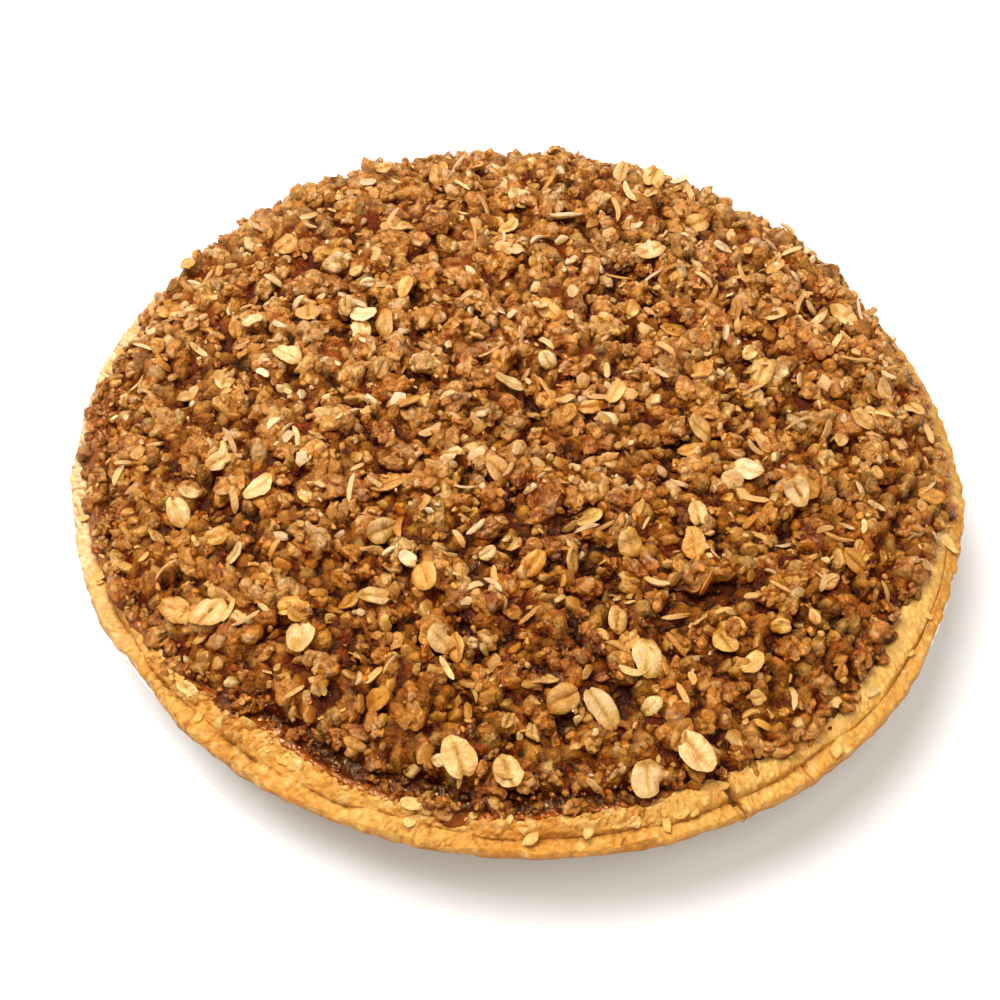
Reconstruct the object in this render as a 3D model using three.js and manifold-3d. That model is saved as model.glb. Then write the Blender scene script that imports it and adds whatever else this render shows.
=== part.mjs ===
// An apple tart with an oat crumble top, baked in a pressed foil tin.
// Millimetres, +Z up, resting on z = 0 with its axis on the Z axis. The front is -Y.
import * as THREE from "three";
import { mergeVertices } from "three/addons/utils/BufferGeometryUtils.js";
import Module from "manifold-3d";

const wasm = await Module();
wasm.setup();

// Foil tin: a nine-inch pan with a flat flange and a curled bead
const TIN_RADIUS = 119.8;
const TIN_BASE_RADIUS = 92;
const TIN_SHEET = 0.6;
const FLANGE_HEIGHT = 28;
const FLANGE_INNER_RADIUS = 110;
const BEAD_RADIUS = 1.1;
const BEAD_CENTRE_RADIUS = TIN_RADIUS - BEAD_RADIUS;
const BEAD_CENTRE_HEIGHT = FLANGE_HEIGHT + 0.2;
const PLEATS = 36;
const PLEAT_DEPTH = 0.9;
const PLEAT_FOOT = 4;
const PLEAT_HEAD = 23;

// Gap that touching pieces keep
const GAP = 0.3;
const SETTLE_GAP = 0.45;

// Pastry case: floor, wall, a raised band on the flange and an outer lip below it
const PASTRY_FLOOR = 4;
const PASTRY_FLOOR_RADIUS = 88;
const WALL_TOP_HEIGHT = 31.8;
const WALL_TOP_INSET = 2.5;
const BAND_INNER_HEIGHT = 34;
const BAND_HEIGHT = 34.7;
const BAND_OUTER_HEIGHT = 33.5;
const BAND_RADIUS = 115.9;
const BAND_INNER_LIMIT = 113;
const GROOVE_RADIUS = 117.1;
const GROOVE_HEIGHT = 31.7;
const LIP_HEIGHT = 31.4;
const LIP_ROUNDING = 1;
const LEAST_STEP = 0.6;
const CASE_ROOM = 0.5;
const PASTRY_COLUMNS = 96;
const PASTRY_SWELLS = { size: 9, height: 0.55, seed: 1 };
const PASTRY_BLISTERS = { size: 4, height: 0.33, seed: 2 };
const LIP_WAVES = { size: 20, height: 0.4, seed: 3 };

// Filling and crumble: the top of the jam and the heaped dome over it
const FILLING_BOTTOM = 3;
const FILLING_HEIGHT = 33;
const FILLING_UNDER_WALL_TOP = 29.7;
const FILLING_UNDER_EDGE = 30.8;
const FILLING_THICKNESS = 1.7;
const FILLING_COLUMNS = 48;
const FILLING_WAVES = { size: 10, height: 0.6, seed: 4 };
const FILLING_INNER = { inset: 7, limit: 105, height: FILLING_HEIGHT + 0.3 };
const CRUMBLE_BOTTOM = 30.5;
const CRUMBLE_EDGE_HEIGHT = 33.2;
const CRUMBLE_TOP = 50.7;
const CRUMBLE_BACK_LIFT = 2.5;
const CRUMBLE_ROUNDNESS = 0.53;
const CRUMBLE_FLATNESS = 4;
const CRUMBLE_FADE = 8;
const CRUMBLE_DETAIL = 10;
const CRUMBLE_EDGE_SHARE = 1.05;
const CRUMBLE_SWELLS = { size: 17, height: 1.3, seed: 5 };
const CRUMBLE_CRAGS = { size: 7, height: 1.3, seed: 6 };

// Outline stations round the tart: degrees from +X, then the radius of the pastry's lip,
// of the filling's edge and of the crumble's edge. The lip is short where the foil shows.
const STATIONS = [
  [-177, 121.4, 119.5, 111],
  [-165, 121, 116.5, 110],
  [-150, 121.3, 116, 113],
  [-137, 118.9, 113.5, 112],
  [-122, 121, 109.5, 106],
  [-107, 120.6, 112.5, 106.5],
  [-92, 120.5, 113, 107],
  [-75, 121, 112, 108],
  [-62, 120.7, 109, 111],
  [-49, 121.5, 108, 113],
  [-36, 120.7, 108, 111.5],
  [-25, 118.9, 107, 109.5],
  [-14, 118.9, 108, 113],
  [-3, 121.5, 109, 115],
  [26, 118.8, 110, 115.5],
  [50, 121.6, 111, 118.5],
  [90, 121.8, 112, 119.5],
  [120, 121.8, 112, 119.3],
  [150, 121.8, 113, 117.5],
  [168, 121.5, 116.5, 112.5],
];
const LIP = 1;
const FILLING = 2;
const CRUMBLE = 3;

// Breaks in the band: degrees, depth, and half width in degrees
const BREAKS = [
  { angle: -62, depth: 4.2, width: 1.8 },
  { angle: -51, depth: 1.6, width: 2.2 },
];

// Large pieces that the photo shows, by place: x, y and length
const LARGE_FLAKES = [
  [22.8, -87.8, 12],
  [33.5, -73.8, 10.5],
  [-34.8, -40.7, 9],
  [-34, -62.7, 8.5],
  [-10.3, -103.2, 10.5],
  [1.6, -104.7, 9],
  [34.6, -102.7, 9.5],
  [-51.1, -74, 10],
  [-74.7, -67.5, 10.5],
  [59.2, -12.8, 8.5],
  [71.9, -19.4, 8],
  [8.5, 80.6, 10.5],
  [-46.8, 34.3, 8.5],
  [-90.8, 3.5, 8],
  [45.9, -96.4, 11],
];
const LARGE_LUMPS = [
  [-29.8, 77.6, 14],
  [-67, -86, 13],
  [-16.3, 23.8, 17],
  [12.1, -41.7, 17],
  [6.3, -25.9, 15],
  [-8.8, -59, 19],
  [14.6, -77.1, 17],
  [20, -3.8, 16],
  [-84.2, -64.9, 12],
];

// Pieces spread by rule, with their longest and shortest lengths
const FLAKE_COUNT = 42;
const FLAKE_LENGTHS = [9.5, 7.5];
const FLAKE_WIDTH_SHARE = 0.78;
const FLAKE_THICKNESS = 1.5;
const FLAKE_TILT = 0.25;
const FLAKE_LIFT = 0.5;
const LUMP_COUNT = 42;
const LUMP_LENGTHS = [15, 10];
const LUMP_WIDTH_SHARES = [0.68, 0.88];
const LUMP_HEIGHT_SHARE = 0.68;
const LUMP_SINK = 0.1;
const LUMP_SWELL = 0.16;
const PASTRY_FLAKE_COUNT = 9;
const PASTRY_FLAKE_LENGTHS = [3.6, 6];
const PASTRY_FLAKE_RADII = [113.8, 117];
const PASTRY_FLAKE_THICKNESS = 1.4;
const PASTRY_FLAKE_LIFT = 0.2;
const PASTRY_FLAKE_LIP_INSET = 3.4;
const PASTRY_FLAKE_RISES = [-0.3, 0.3];

// The spiral that spreads the pieces: its turn for each kind, its drift and its inset
const GOLDEN_ANGLE = Math.PI * (3 - Math.sqrt(5));
const LUMP_TURN = 0.4;
const FLAKE_TURN = 1.9;
const PLACE_DRIFT = 0.25;
const PLACE_INSET = 4;

// The flake that stands out past the lip on the right
const LOOSE_FLAKE = { angle: -8.5, radius: 119.4, height: 31.9, length: 7.2, rise: 0.25 };

// A repeatable draw of numbers from 0 to 1
function seededDraw(seed) {
  let state = seed >>> 0;
  return () => {
    state = (Math.imul(state, 1664525) + 1013904223) >>> 0;
    return state / 4294967296;
  };
}

function mix(from, to, share) {
  return from + (to - from) * share;
}

// Smooth noise from -1 to 1 over a plane: a scrambled value at each whole place, eased between
function latticeValue(i, j, seed) {
  const scrambled = Math.sin(i * 127.1 + j * 311.7 + seed * 74.7) * 43758.5453;
  return 2 * (scrambled - Math.floor(scrambled)) - 1;
}

function noise(x, y, seed) {
  const i = Math.floor(x);
  const j = Math.floor(y);
  const u = (x - i) ** 2 * (3 - 2 * (x - i));
  const v = (y - j) ** 2 * (3 - 2 * (y - j));
  const near = mix(latticeValue(i, j, seed), latticeValue(i + 1, j, seed), u);
  const far = mix(latticeValue(i, j + 1, seed), latticeValue(i + 1, j + 1, seed), u);
  return mix(near, far, v);
}

function relief({ size, height, seed }, x, y) {
  return height * noise(x / size, y / size, seed);
}

// The value of one station column at an angle, eased from station to station
function aroundEdge(column, angle) {
  const first = STATIONS[0][0];
  const degrees = THREE.MathUtils.euclideanModulo(THREE.MathUtils.radToDeg(angle) - first, 360) + first;
  const after = STATIONS.findIndex((station) => station[0] > degrees);
  const right = after < 0 ? [first + 360, ...STATIONS[0].slice(1)] : STATIONS[after];
  const left = after < 0 ? STATIONS[STATIONS.length - 1] : STATIONS[after - 1];
  const share = (degrees - left[0]) / (right[0] - left[0]);
  return mix(left[column], right[column], (1 - Math.cos(Math.PI * share)) / 2);
}

// Solids to and from the library that joins and cuts them
function solidFrom(geometry) {
  geometry.deleteAttribute("normal");
  geometry.deleteAttribute("uv");
  const merged = mergeVertices(geometry, 1e-4);
  const corners = merged.index.array;
  const kept = [];
  for (let i = 0; i < corners.length; i += 3) {
    const [a, b, c] = [corners[i], corners[i + 1], corners[i + 2]];
    if (a !== b && b !== c && c !== a) {
      kept.push(a, b, c);
    }
  }
  const vertProperties = new Float32Array(merged.getAttribute("position").array);
  return new wasm.Manifold(new wasm.Mesh({ numProp: 3, vertProperties, triVerts: new Uint32Array(kept) }));
}

function geometryFrom(solid) {
  const mesh = solid.getMesh();
  const geometry = new THREE.BufferGeometry();
  geometry.setAttribute("position", new THREE.BufferAttribute(mesh.vertProperties, 3));
  geometry.setIndex(new THREE.BufferAttribute(mesh.triVerts, 1));
  geometry.computeVertexNormals();
  return geometry;
}

function unite(solids) {
  return solids.reduce((whole, solid) => whole.add(solid));
}

// The largest body of a solid, without the loose scraps that a cut leaves
function largestBody(solid) {
  return solid.decompose().sort((a, b) => b.volume() - a.volume())[0];
}

// A solid turned about Z whose section, a list of [radius, height], changes with the angle
function turnedSolid(columns, sectionAt) {
  const rings = sectionAt(0).length;
  const plain = Array.from({ length: rings }, (_, ring) => new THREE.Vector2(1, ring));
  const geometry = new THREE.LatheGeometry(plain, columns);
  const position = geometry.getAttribute("position");
  for (let column = 0; column <= columns; column += 1) {
    const angle = ((column % columns) / columns) * 2 * Math.PI;
    const section = sectionAt(angle);
    for (let ring = 0; ring < rings; ring += 1) {
      const [radius, height] = section[ring];
      position.setXYZ(column * rings + ring, radius * Math.cos(angle), radius * Math.sin(angle), height);
    }
  }
  return solidFrom(geometry);
}

// The tin's wall leans outward, so its radius follows the height
const WALL_SLOPE = (FLANGE_INNER_RADIUS - TIN_BASE_RADIUS) / (FLANGE_HEIGHT - TIN_SHEET);
const LEAN = Math.hypot(1, WALL_SLOPE);

function wallRadius(height, inset) {
  return TIN_BASE_RADIUS + height * WALL_SLOPE - inset * LEAN;
}

function beadPoint(degrees) {
  const angle = THREE.MathUtils.degToRad(degrees);
  return [
    BEAD_CENTRE_RADIUS + BEAD_RADIUS * Math.cos(angle),
    BEAD_CENTRE_HEIGHT + BEAD_RADIUS * Math.sin(angle),
  ];
}

function tinSection(angle) {
  const column = Math.round((angle / (2 * Math.PI)) * 2 * PLEATS);
  const pleat = column % 2 === 1 ? PLEAT_DEPTH : 0;
  const under = FLANGE_HEIGHT - TIN_SHEET;
  return [
    [0, 0],
    [wallRadius(0, 0), 0],
    [wallRadius(PLEAT_FOOT, 0) + pleat, PLEAT_FOOT],
    [wallRadius(PLEAT_HEAD, 0) + pleat, PLEAT_HEAD],
    [wallRadius(under, 0), under],
    beadPoint(-120),
    beadPoint(-55),
    beadPoint(0),
    beadPoint(75),
    [BEAD_CENTRE_RADIUS - BEAD_RADIUS, FLANGE_HEIGHT],
    [wallRadius(FLANGE_HEIGHT, TIN_SHEET), FLANGE_HEIGHT],
    [wallRadius(PLEAT_HEAD, TIN_SHEET) + pleat, PLEAT_HEAD],
    [wallRadius(PLEAT_FOOT, TIN_SHEET) + pleat, PLEAT_FOOT],
    [wallRadius(TIN_SHEET, TIN_SHEET), TIN_SHEET],
    [0, TIN_SHEET],
  ];
}

// The lip's underside and outer edge, from the bead's centre, as it ends short of the bead,
// on the bead, and hanging over it
const LIP_SHAPES = [
  { reach: 117.6, under: [[-2.6, 0.1], [-2.3, 0.7], [-1.9, 1.3], [-1.5, 1.5]], edgeHeight: 30.3 },
  { reach: 118.9, under: [[-1.7, 0.1], [-1.3, 1.4], [-0.5, 1.5], [-0.1, 1.6]], edgeHeight: 30.4 },
  { reach: 120.7, under: [[-1.7, 0.1], [-1.3, 1.45], [1, 1.3], [1.7, 1]], edgeHeight: 30.3 },
];

function lipEdge(reach) {
  const upper = reach > LIP_SHAPES[1].reach ? 2 : 1;
  const [from, to] = [LIP_SHAPES[upper - 1], LIP_SHAPES[upper]];
  const share = THREE.MathUtils.clamp((reach - from.reach) / (to.reach - from.reach), 0, 1.5);
  const underside = from.under.map(([outward, upward], i) => [
    BEAD_CENTRE_RADIUS + mix(outward, to.under[i][0], share),
    BEAD_CENTRE_HEIGHT + mix(upward, to.under[i][1], share),
  ]);
  return [...underside, [reach, mix(from.edgeHeight, to.edgeHeight, share)]];
}

function breakDepth(angle) {
  const degrees = THREE.MathUtils.radToDeg(angle > Math.PI ? angle - 2 * Math.PI : angle);
  const depths = BREAKS.map(({ angle: at, depth, width }) => {
    return depth * Math.max(0, 1 - Math.abs(degrees - at) / width);
  });
  return Math.max(...depths);
}

// A waved radius, and the baked pastry's small rises and dips at a place
function wavedEdge(column, waves, angle) {
  const radius = aroundEdge(column, angle);
  return radius + relief(waves, radius * Math.cos(angle), radius * Math.sin(angle));
}

function pastryRelief(angle, radius) {
  const x = radius * Math.cos(angle);
  const y = radius * Math.sin(angle);
  return relief(PASTRY_SWELLS, x, y) + relief(PASTRY_BLISTERS, x, y);
}

function pastrySection(angle) {
  const lip = wavedEdge(LIP, LIP_WAVES, angle);
  const groove = Math.min(GROOVE_RADIUS, lip - LIP_ROUNDING - LEAST_STEP);
  const band = Math.min(BAND_RADIUS, groove - LEAST_STEP);
  const inner = Math.min(aroundEdge(FILLING, angle), BAND_INNER_LIMIT) + CASE_ROOM;
  const cut = breakDepth(angle);
  const baked = (radius, height) => [radius, height + pastryRelief(angle, radius) - cut];
  const floor = TIN_SHEET + GAP;
  return [
    [0, floor],
    [wallRadius(floor, TIN_SHEET + GAP), floor],
    [wallRadius(FLANGE_HEIGHT + GAP, TIN_SHEET + GAP), FLANGE_HEIGHT + GAP],
    ...lipEdge(lip),
    baked(lip - LIP_ROUNDING, LIP_HEIGHT),
    baked(groove, GROOVE_HEIGHT),
    baked(band, BAND_OUTER_HEIGHT),
    baked(mix(inner, band, 0.5), BAND_HEIGHT),
    baked(inner, BAND_INNER_HEIGHT),
    [inner - WALL_TOP_INSET, WALL_TOP_HEIGHT],
    [PASTRY_FLOOR_RADIUS, floor + PASTRY_FLOOR],
    [0, floor + PASTRY_FLOOR],
  ];
}

// The pastry's upper surface at a radius, between the top of the inner wall and the lip
const WALL_TOP_RING = -3;
const LIP_TOP_RING = -8;

function pastryTop(angle, radius) {
  const top = pastrySection(angle).slice(LIP_TOP_RING, WALL_TOP_RING + 1);
  const outer = top.findLastIndex((point) => point[0] >= radius);
  if (outer < 0 || outer === top.length - 1) {
    return outer < 0 ? top[0][1] : top[outer][1];
  }
  const [from, to] = [top[outer], top[outer + 1]];
  return mix(from[1], to[1], (from[0] - radius) / (from[0] - to[0]));
}

// A flat piece of pastry that stands up from the band or hangs past the lip
function pastryFlake({ angle, radius, height, length, rise }) {
  const geometry = new THREE.SphereGeometry(1, 6, 2);
  geometry.scale(length / 2, length / 3, PASTRY_FLAKE_THICKNESS / 2);
  geometry.rotateX(rise);
  geometry.rotateZ(angle);
  geometry.translate(radius * Math.cos(angle), radius * Math.sin(angle), height);
  return solidFrom(geometry);
}

function pastryCrust() {
  const draw = seededDraw(71);
  const flakes = [pastryFlake({ ...LOOSE_FLAKE, angle: THREE.MathUtils.degToRad(LOOSE_FLAKE.angle) })];
  for (let i = 0; i < PASTRY_FLAKE_COUNT; i += 1) {
    const angle = ((i + 0.8 * draw()) / PASTRY_FLAKE_COUNT) * 2 * Math.PI;
    const limit = aroundEdge(LIP, angle) - PASTRY_FLAKE_LIP_INSET;
    const radius = Math.min(mix(...PASTRY_FLAKE_RADII, draw()), limit);
    const height = pastryTop(angle, radius) + PASTRY_FLAKE_LIFT;
    const length = mix(...PASTRY_FLAKE_LENGTHS, draw());
    flakes.push(pastryFlake({ angle, radius, height, length, rise: mix(...PASTRY_FLAKE_RISES, draw()) }));
  }
  return unite([turnedSolid(PASTRY_COLUMNS, pastrySection), ...flakes]);
}

// The filling's drape over the pastry: how far in from its edge, at most how far out, and its
// share of the full thickness
const FILLING_DRAPE = [
  { inset: 0, limit: TIN_RADIUS, share: 0.5 },
  { inset: 2, limit: TIN_RADIUS, share: 0.9 },
  { inset: 3.5, limit: BAND_RADIUS - 1.5, share: 1 },
  { inset: 5, limit: BAND_INNER_LIMIT - 2.5, share: 1 },
];

// The filling's blank reaches into the pastry, which is then cut out of it
function fillingSection(angle) {
  const edge = wavedEdge(FILLING, FILLING_WAVES, angle);
  const drape = FILLING_DRAPE.map(({ inset, limit, share }) => {
    const radius = Math.min(edge - inset, limit);
    return [radius, pastryTop(angle, radius) + share * FILLING_THICKNESS];
  });
  return [
    [0, FILLING_BOTTOM],
    [PASTRY_FLOOR_RADIUS + 1.5, FILLING_BOTTOM],
    [Math.min(edge, BAND_INNER_LIMIT) - 1, FILLING_UNDER_WALL_TOP],
    [edge, FILLING_UNDER_EDGE],
    ...drape,
    [Math.min(edge - FILLING_INNER.inset, FILLING_INNER.limit), FILLING_INNER.height],
    [0, FILLING_HEIGHT],
  ];
}

// The crumble's dome, flat over the middle, steep at its edge and heaped higher at the back
function domeShare(x, y) {
  return Math.min(1, Math.hypot(x, y) / aroundEdge(CRUMBLE, Math.atan2(y, x)));
}

function domeHeight(x, y) {
  const edge = CRUMBLE_EDGE_HEIGHT + (CRUMBLE_BACK_LIFT * Math.max(0, y)) / TIN_RADIUS;
  return mix(edge, CRUMBLE_TOP, (1 - domeShare(x, y) ** CRUMBLE_FLATNESS) ** CRUMBLE_ROUNDNESS);
}

// The dome with its swells and crags, which fade at the edge
function heapHeight(x, y) {
  const fade = 1 - domeShare(x, y) ** CRUMBLE_FADE;
  return domeHeight(x, y) + fade * (relief(CRUMBLE_SWELLS, x, y) + relief(CRUMBLE_CRAGS, x, y));
}

// The core: a ball whose upper half is spread over the dome and whose lower half lies flat
function crumbleCore() {
  const geometry = new THREE.IcosahedronGeometry(1, CRUMBLE_DETAIL);
  const position = geometry.getAttribute("position");
  const point = new THREE.Vector3();
  for (let i = 0; i < position.count; i += 1) {
    point.fromBufferAttribute(position, i).normalize();
    const angle = Math.atan2(point.y, point.x);
    const share = Math.min(1, CRUMBLE_EDGE_SHARE * Math.sqrt(1 - Math.abs(point.z)));
    const radius = share * aroundEdge(CRUMBLE, angle);
    const x = radius * Math.cos(angle);
    const y = radius * Math.sin(angle);
    position.setXYZ(i, x, y, point.z > 1e-6 ? heapHeight(x, y) : CRUMBLE_BOTTOM);
  }
  return solidFrom(geometry);
}

// A lump of crumb: a ball with uneven sides, partly sunk into the dome
function crumbLump(x, y, length, detail, draw) {
  const geometry = new THREE.IcosahedronGeometry(1, detail);
  const position = geometry.getAttribute("position");
  const offset = Math.floor(1000 * draw());
  const point = new THREE.Vector3();
  for (let i = 0; i < position.count; i += 1) {
    point.fromBufferAttribute(position, i).normalize();
    const swell = 1 + LUMP_SWELL * noise(2 * point.x + point.z, 2 * point.y - point.z, offset);
    point.multiplyScalar(swell);
    position.setXYZ(i, point.x, point.y, point.z);
  }
  const half = length / 2;
  geometry.scale(half, half * mix(...LUMP_WIDTH_SHARES, draw()), half * LUMP_HEIGHT_SHARE);
  geometry.rotateZ(2 * Math.PI * draw());
  geometry.translate(x, y, heapHeight(x, y) - length * LUMP_SINK);
  for (let i = 0; i < position.count; i += 1) {
    position.setZ(i, Math.max(position.getZ(i), CRUMBLE_BOTTOM));
  }
  return solidFrom(geometry);
}

// A rolled oat flake: a thin oval, lying on the dome and a little tilted
function oatFlake(x, y, length, draw) {
  const geometry = new THREE.SphereGeometry(1, 8, 2);
  geometry.rotateX(Math.PI / 2);
  geometry.scale(length / 2, (length / 2) * FLAKE_WIDTH_SHARE, FLAKE_THICKNESS / 2);
  geometry.rotateZ(2 * Math.PI * draw());
  const step = 1;
  const fallX = domeHeight(x - step, y) - domeHeight(x + step, y);
  const fallY = domeHeight(x, y - step) - domeHeight(x, y + step);
  const normal = new THREE.Vector3(fallX, fallY, 2 * step).normalize();
  normal.x += mix(-FLAKE_TILT, FLAKE_TILT, draw());
  normal.y += mix(-FLAKE_TILT, FLAKE_TILT, draw());
  normal.normalize();
  const up = new THREE.Vector3(0, 0, 1);
  geometry.applyQuaternion(new THREE.Quaternion().setFromUnitVectors(up, normal));
  geometry.translate(x, y, heapHeight(x, y) + FLAKE_LIFT);
  return solidFrom(geometry);
}

// Places spread evenly over the dome, from a spiral with a little drift
function spreadPlaces(count, turn, draw) {
  return Array.from({ length: count }, (_, i) => {
    const angle = turn + i * GOLDEN_ANGLE + PLACE_DRIFT * draw();
    const radius = (aroundEdge(CRUMBLE, angle) - PLACE_INSET) * Math.sqrt((i + 0.5) / count);
    return [radius * Math.cos(angle), radius * Math.sin(angle)];
  });
}

function crumbleTopping() {
  const draw = seededDraw(11);
  const lumps = spreadPlaces(LUMP_COUNT, LUMP_TURN, draw).map(([x, y], i) => {
    return crumbLump(x, y, mix(...LUMP_LENGTHS, (i * 5 % LUMP_COUNT) / LUMP_COUNT), 0, draw);
  });
  const flakes = spreadPlaces(FLAKE_COUNT, FLAKE_TURN, draw).map(([x, y], i) => {
    return oatFlake(x, y, mix(...FLAKE_LENGTHS, (i * 7 % FLAKE_COUNT) / FLAKE_COUNT), draw);
  });
  const largeLumps = LARGE_LUMPS.map(([x, y, length]) => crumbLump(x, y, length, 1, draw));
  const largeFlakes = LARGE_FLAKES.map(([x, y, length]) => oatFlake(x, y, length, draw));
  return unite([crumbleCore(), ...lumps, ...largeLumps, ...flakes, ...largeFlakes]);
}

function named(name, solid, colour, roughness, metalness) {
  const material = new THREE.MeshStandardMaterial({ color: colour, roughness, metalness });
  const mesh = new THREE.Mesh(geometryFrom(solid), material);
  mesh.name = name;
  return mesh;
}

const tin = turnedSolid(2 * PLEATS, tinSection);
const crust = pastryCrust();
const crustRoom = crust.add(crust.translate([0, 0, SETTLE_GAP]));
const fillingBlank = turnedSolid(FILLING_COLUMNS, fillingSection);
const filling = largestBody(fillingBlank.subtract(crustRoom));
const crumbleBed = crustRoom.add(fillingBlank.translate([0, 0, SETTLE_GAP]));
const crumble = largestBody(crumbleTopping().subtract(crumbleBed));

const tart = new THREE.Group();
tart.add(named("foil_tin", tin, 0xc4c6c8, 0.3, 1));
tart.add(named("pastry_crust", crust, 0xe9c888, 0.75, 0));
tart.add(named("apple_filling", filling, 0x6b3a1c, 0.25, 0));
tart.add(named("crumble_topping", crumble, 0xa0703c, 0.65, 0));

export default tart;
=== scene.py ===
# An apple tart with an oat crumble top in a pressed foil tin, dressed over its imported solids.
# Shapes are worked out in millimetres and become metres where a mesh is made.
import math
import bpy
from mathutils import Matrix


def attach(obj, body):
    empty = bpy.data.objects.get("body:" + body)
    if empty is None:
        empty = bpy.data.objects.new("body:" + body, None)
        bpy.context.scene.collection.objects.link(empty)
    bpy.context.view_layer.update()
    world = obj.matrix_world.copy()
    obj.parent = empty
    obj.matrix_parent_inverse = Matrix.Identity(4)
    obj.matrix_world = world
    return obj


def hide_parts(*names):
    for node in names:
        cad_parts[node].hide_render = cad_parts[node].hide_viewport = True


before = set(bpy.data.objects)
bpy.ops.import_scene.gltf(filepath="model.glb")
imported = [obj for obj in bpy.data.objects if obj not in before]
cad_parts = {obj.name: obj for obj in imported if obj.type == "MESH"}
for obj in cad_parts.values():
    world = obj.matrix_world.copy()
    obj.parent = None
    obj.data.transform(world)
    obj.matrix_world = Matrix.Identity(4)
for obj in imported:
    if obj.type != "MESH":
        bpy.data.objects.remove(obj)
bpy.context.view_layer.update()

from types import SimpleNamespace

import bmesh
import bpy
import numpy as np
from mathutils import Matrix, Vector

MM = 0.001

# Foil tin
TIN_RADIUS = 119.8
TIN_BASE_RADIUS = 92
TIN_SHEET = 0.6
FLANGE_HEIGHT = 28
FLANGE_INNER_RADIUS = 110
BEAD_RADIUS = 1.1
BEAD_CENTRE_RADIUS = TIN_RADIUS - BEAD_RADIUS
BEAD_CENTRE_HEIGHT = FLANGE_HEIGHT + 0.2
GAP = 0.3

# Pastry case
PASTRY_FLOOR = 4
PASTRY_FLOOR_RADIUS = 88
WALL_TOP_HEIGHT = 31.8
WALL_TOP_INSET = 2.5
BAND_INNER_HEIGHT = 34
BAND_HEIGHT = 34.7
BAND_OUTER_HEIGHT = 33.5
BAND_RADIUS = 115.9
BAND_INNER_LIMIT = 113
GROOVE_RADIUS = 117.1
GROOVE_HEIGHT = 31.7
LIP_HEIGHT = 31.4
LIP_ROUNDING = 1
LEAST_STEP = 0.6
CASE_ROOM = 0.5
PASTRY_SWELLS = (9, 0.55, 1)
PASTRY_BLISTERS = (4, 0.33, 2)
LIP_WAVES = (20, 0.4, 3)

# Filling and crumble
FILLING_BOTTOM = 3
FILLING_HEIGHT = 33
FILLING_THICKNESS = 1.7
FILLING_WAVES = (10, 0.6, 4)
CRUMBLE_BOTTOM = 31.4
CRUMBLE_EDGE_HEIGHT = 33.2
CRUMBLE_TOP = 50.7
CRUMBLE_BACK_LIFT = 2.5
CRUMBLE_ROUNDNESS = 0.53
CRUMBLE_FLATNESS = 4
CRUMBLE_FADE = 8
CRUMBLE_SWELLS = (17, 1.3, 5)
CRUMBLE_CRAGS = (7, 1.3, 6)

# Outline stations round the tart: degrees from +X, then the radius of the pastry's lip,
# of the filling's edge and of the crumble's edge
STATIONS = np.array([
    [-177, 121.4, 119.5, 111],
    [-165, 121, 116.5, 110],
    [-150, 121.3, 116, 113],
    [-137, 118.9, 113.5, 112],
    [-122, 121, 109.5, 106],
    [-107, 120.6, 112.5, 106.5],
    [-92, 120.5, 113, 107],
    [-75, 121, 112, 108],
    [-62, 120.7, 109, 111],
    [-49, 121.5, 108, 113],
    [-36, 120.7, 108, 111.5],
    [-25, 118.9, 107, 109.5],
    [-14, 118.9, 108, 113],
    [-3, 121.5, 109, 115],
    [26, 118.8, 110, 115.5],
    [50, 121.6, 111, 118.5],
    [90, 121.8, 112, 119.5],
    [120, 121.8, 112, 119.3],
    [150, 121.8, 113, 117.5],
    [168, 121.5, 116.5, 112.5],
])
LIP = 1
FILLING = 2
CRUMBLE = 3

# Large pieces that the photo shows, by place: x, y and length
LARGE_FLAKES = [
    (22.8, -87.8, 12),
    (33.5, -73.8, 10.5),
    (-34.8, -40.7, 9),
    (-34, -62.7, 8.5),
    (-10.3, -103.2, 10.5),
    (1.6, -104.7, 9),
    (34.6, -102.7, 9.5),
    (-51.1, -74, 10),
    (-74.7, -67.5, 10.5),
    (59.2, -12.8, 8.5),
    (71.9, -19.4, 8),
    (8.5, 80.6, 10.5),
    (-46.8, 34.3, 8.5),
    (-90.8, 3.5, 8),
    (45.9, -96.4, 11),
]
LARGE_LUMPS = [
    (-29.8, 77.6, 14),
    (-67, -86, 13),
    (-16.3, 23.8, 17),
    (12.1, -41.7, 17),
    (6.3, -25.9, 15),
    (-8.8, -59, 19),
    (14.6, -77.1, 17),
    (20, -3.8, 16),
    (-84.2, -64.9, 12),
]
FLAKE_COUNT = 42
FLAKE_LENGTHS = (9.5, 7.5)
LUMP_COUNT = 42
LUMP_LENGTHS = (15, 10)
LUMP_WIDTH_SHARES = (0.68, 0.88)
GOLDEN_ANGLE = math.pi * (3 - math.sqrt(5))
LUMP_TURN = 0.4
FLAKE_TURN = 1.9
PLACE_DRIFT = 0.25
PLACE_INSET = 4


# Numbers: mixes, repeatable draws and smooth noise

def mix(low, high, share):
    return low + (high - low) * share


def ease(low, high, value):
    share = np.clip((value - low) / (high - low), 0, 1)
    return share * share * (3 - 2 * share)


def seeded_draw(seed):
    state = seed

    def draw():
        nonlocal state
        state = (state * 1664525 + 1013904223) % 2 ** 32
        return state / 2 ** 32

    return draw


def scrambled(value):
    wild = np.sin(value) * 43758.5453
    return 2 * (wild - np.floor(wild)) - 1


def flat_noise(x, y, seed):
    i, j = np.floor(x), np.floor(y)
    u, v = x - i, y - j
    u, v = u * u * (3 - 2 * u), v * v * (3 - 2 * v)

    def corner(di, dj):
        return scrambled((i + di) * 127.1 + (j + dj) * 311.7 + seed * 74.7)

    return mix(mix(corner(0, 0), corner(1, 0), u), mix(corner(0, 1), corner(1, 1), u), v)


def relief(waves, x, y):
    size, height, seed = waves
    return height * flat_noise(x / size, y / size, seed)


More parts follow.
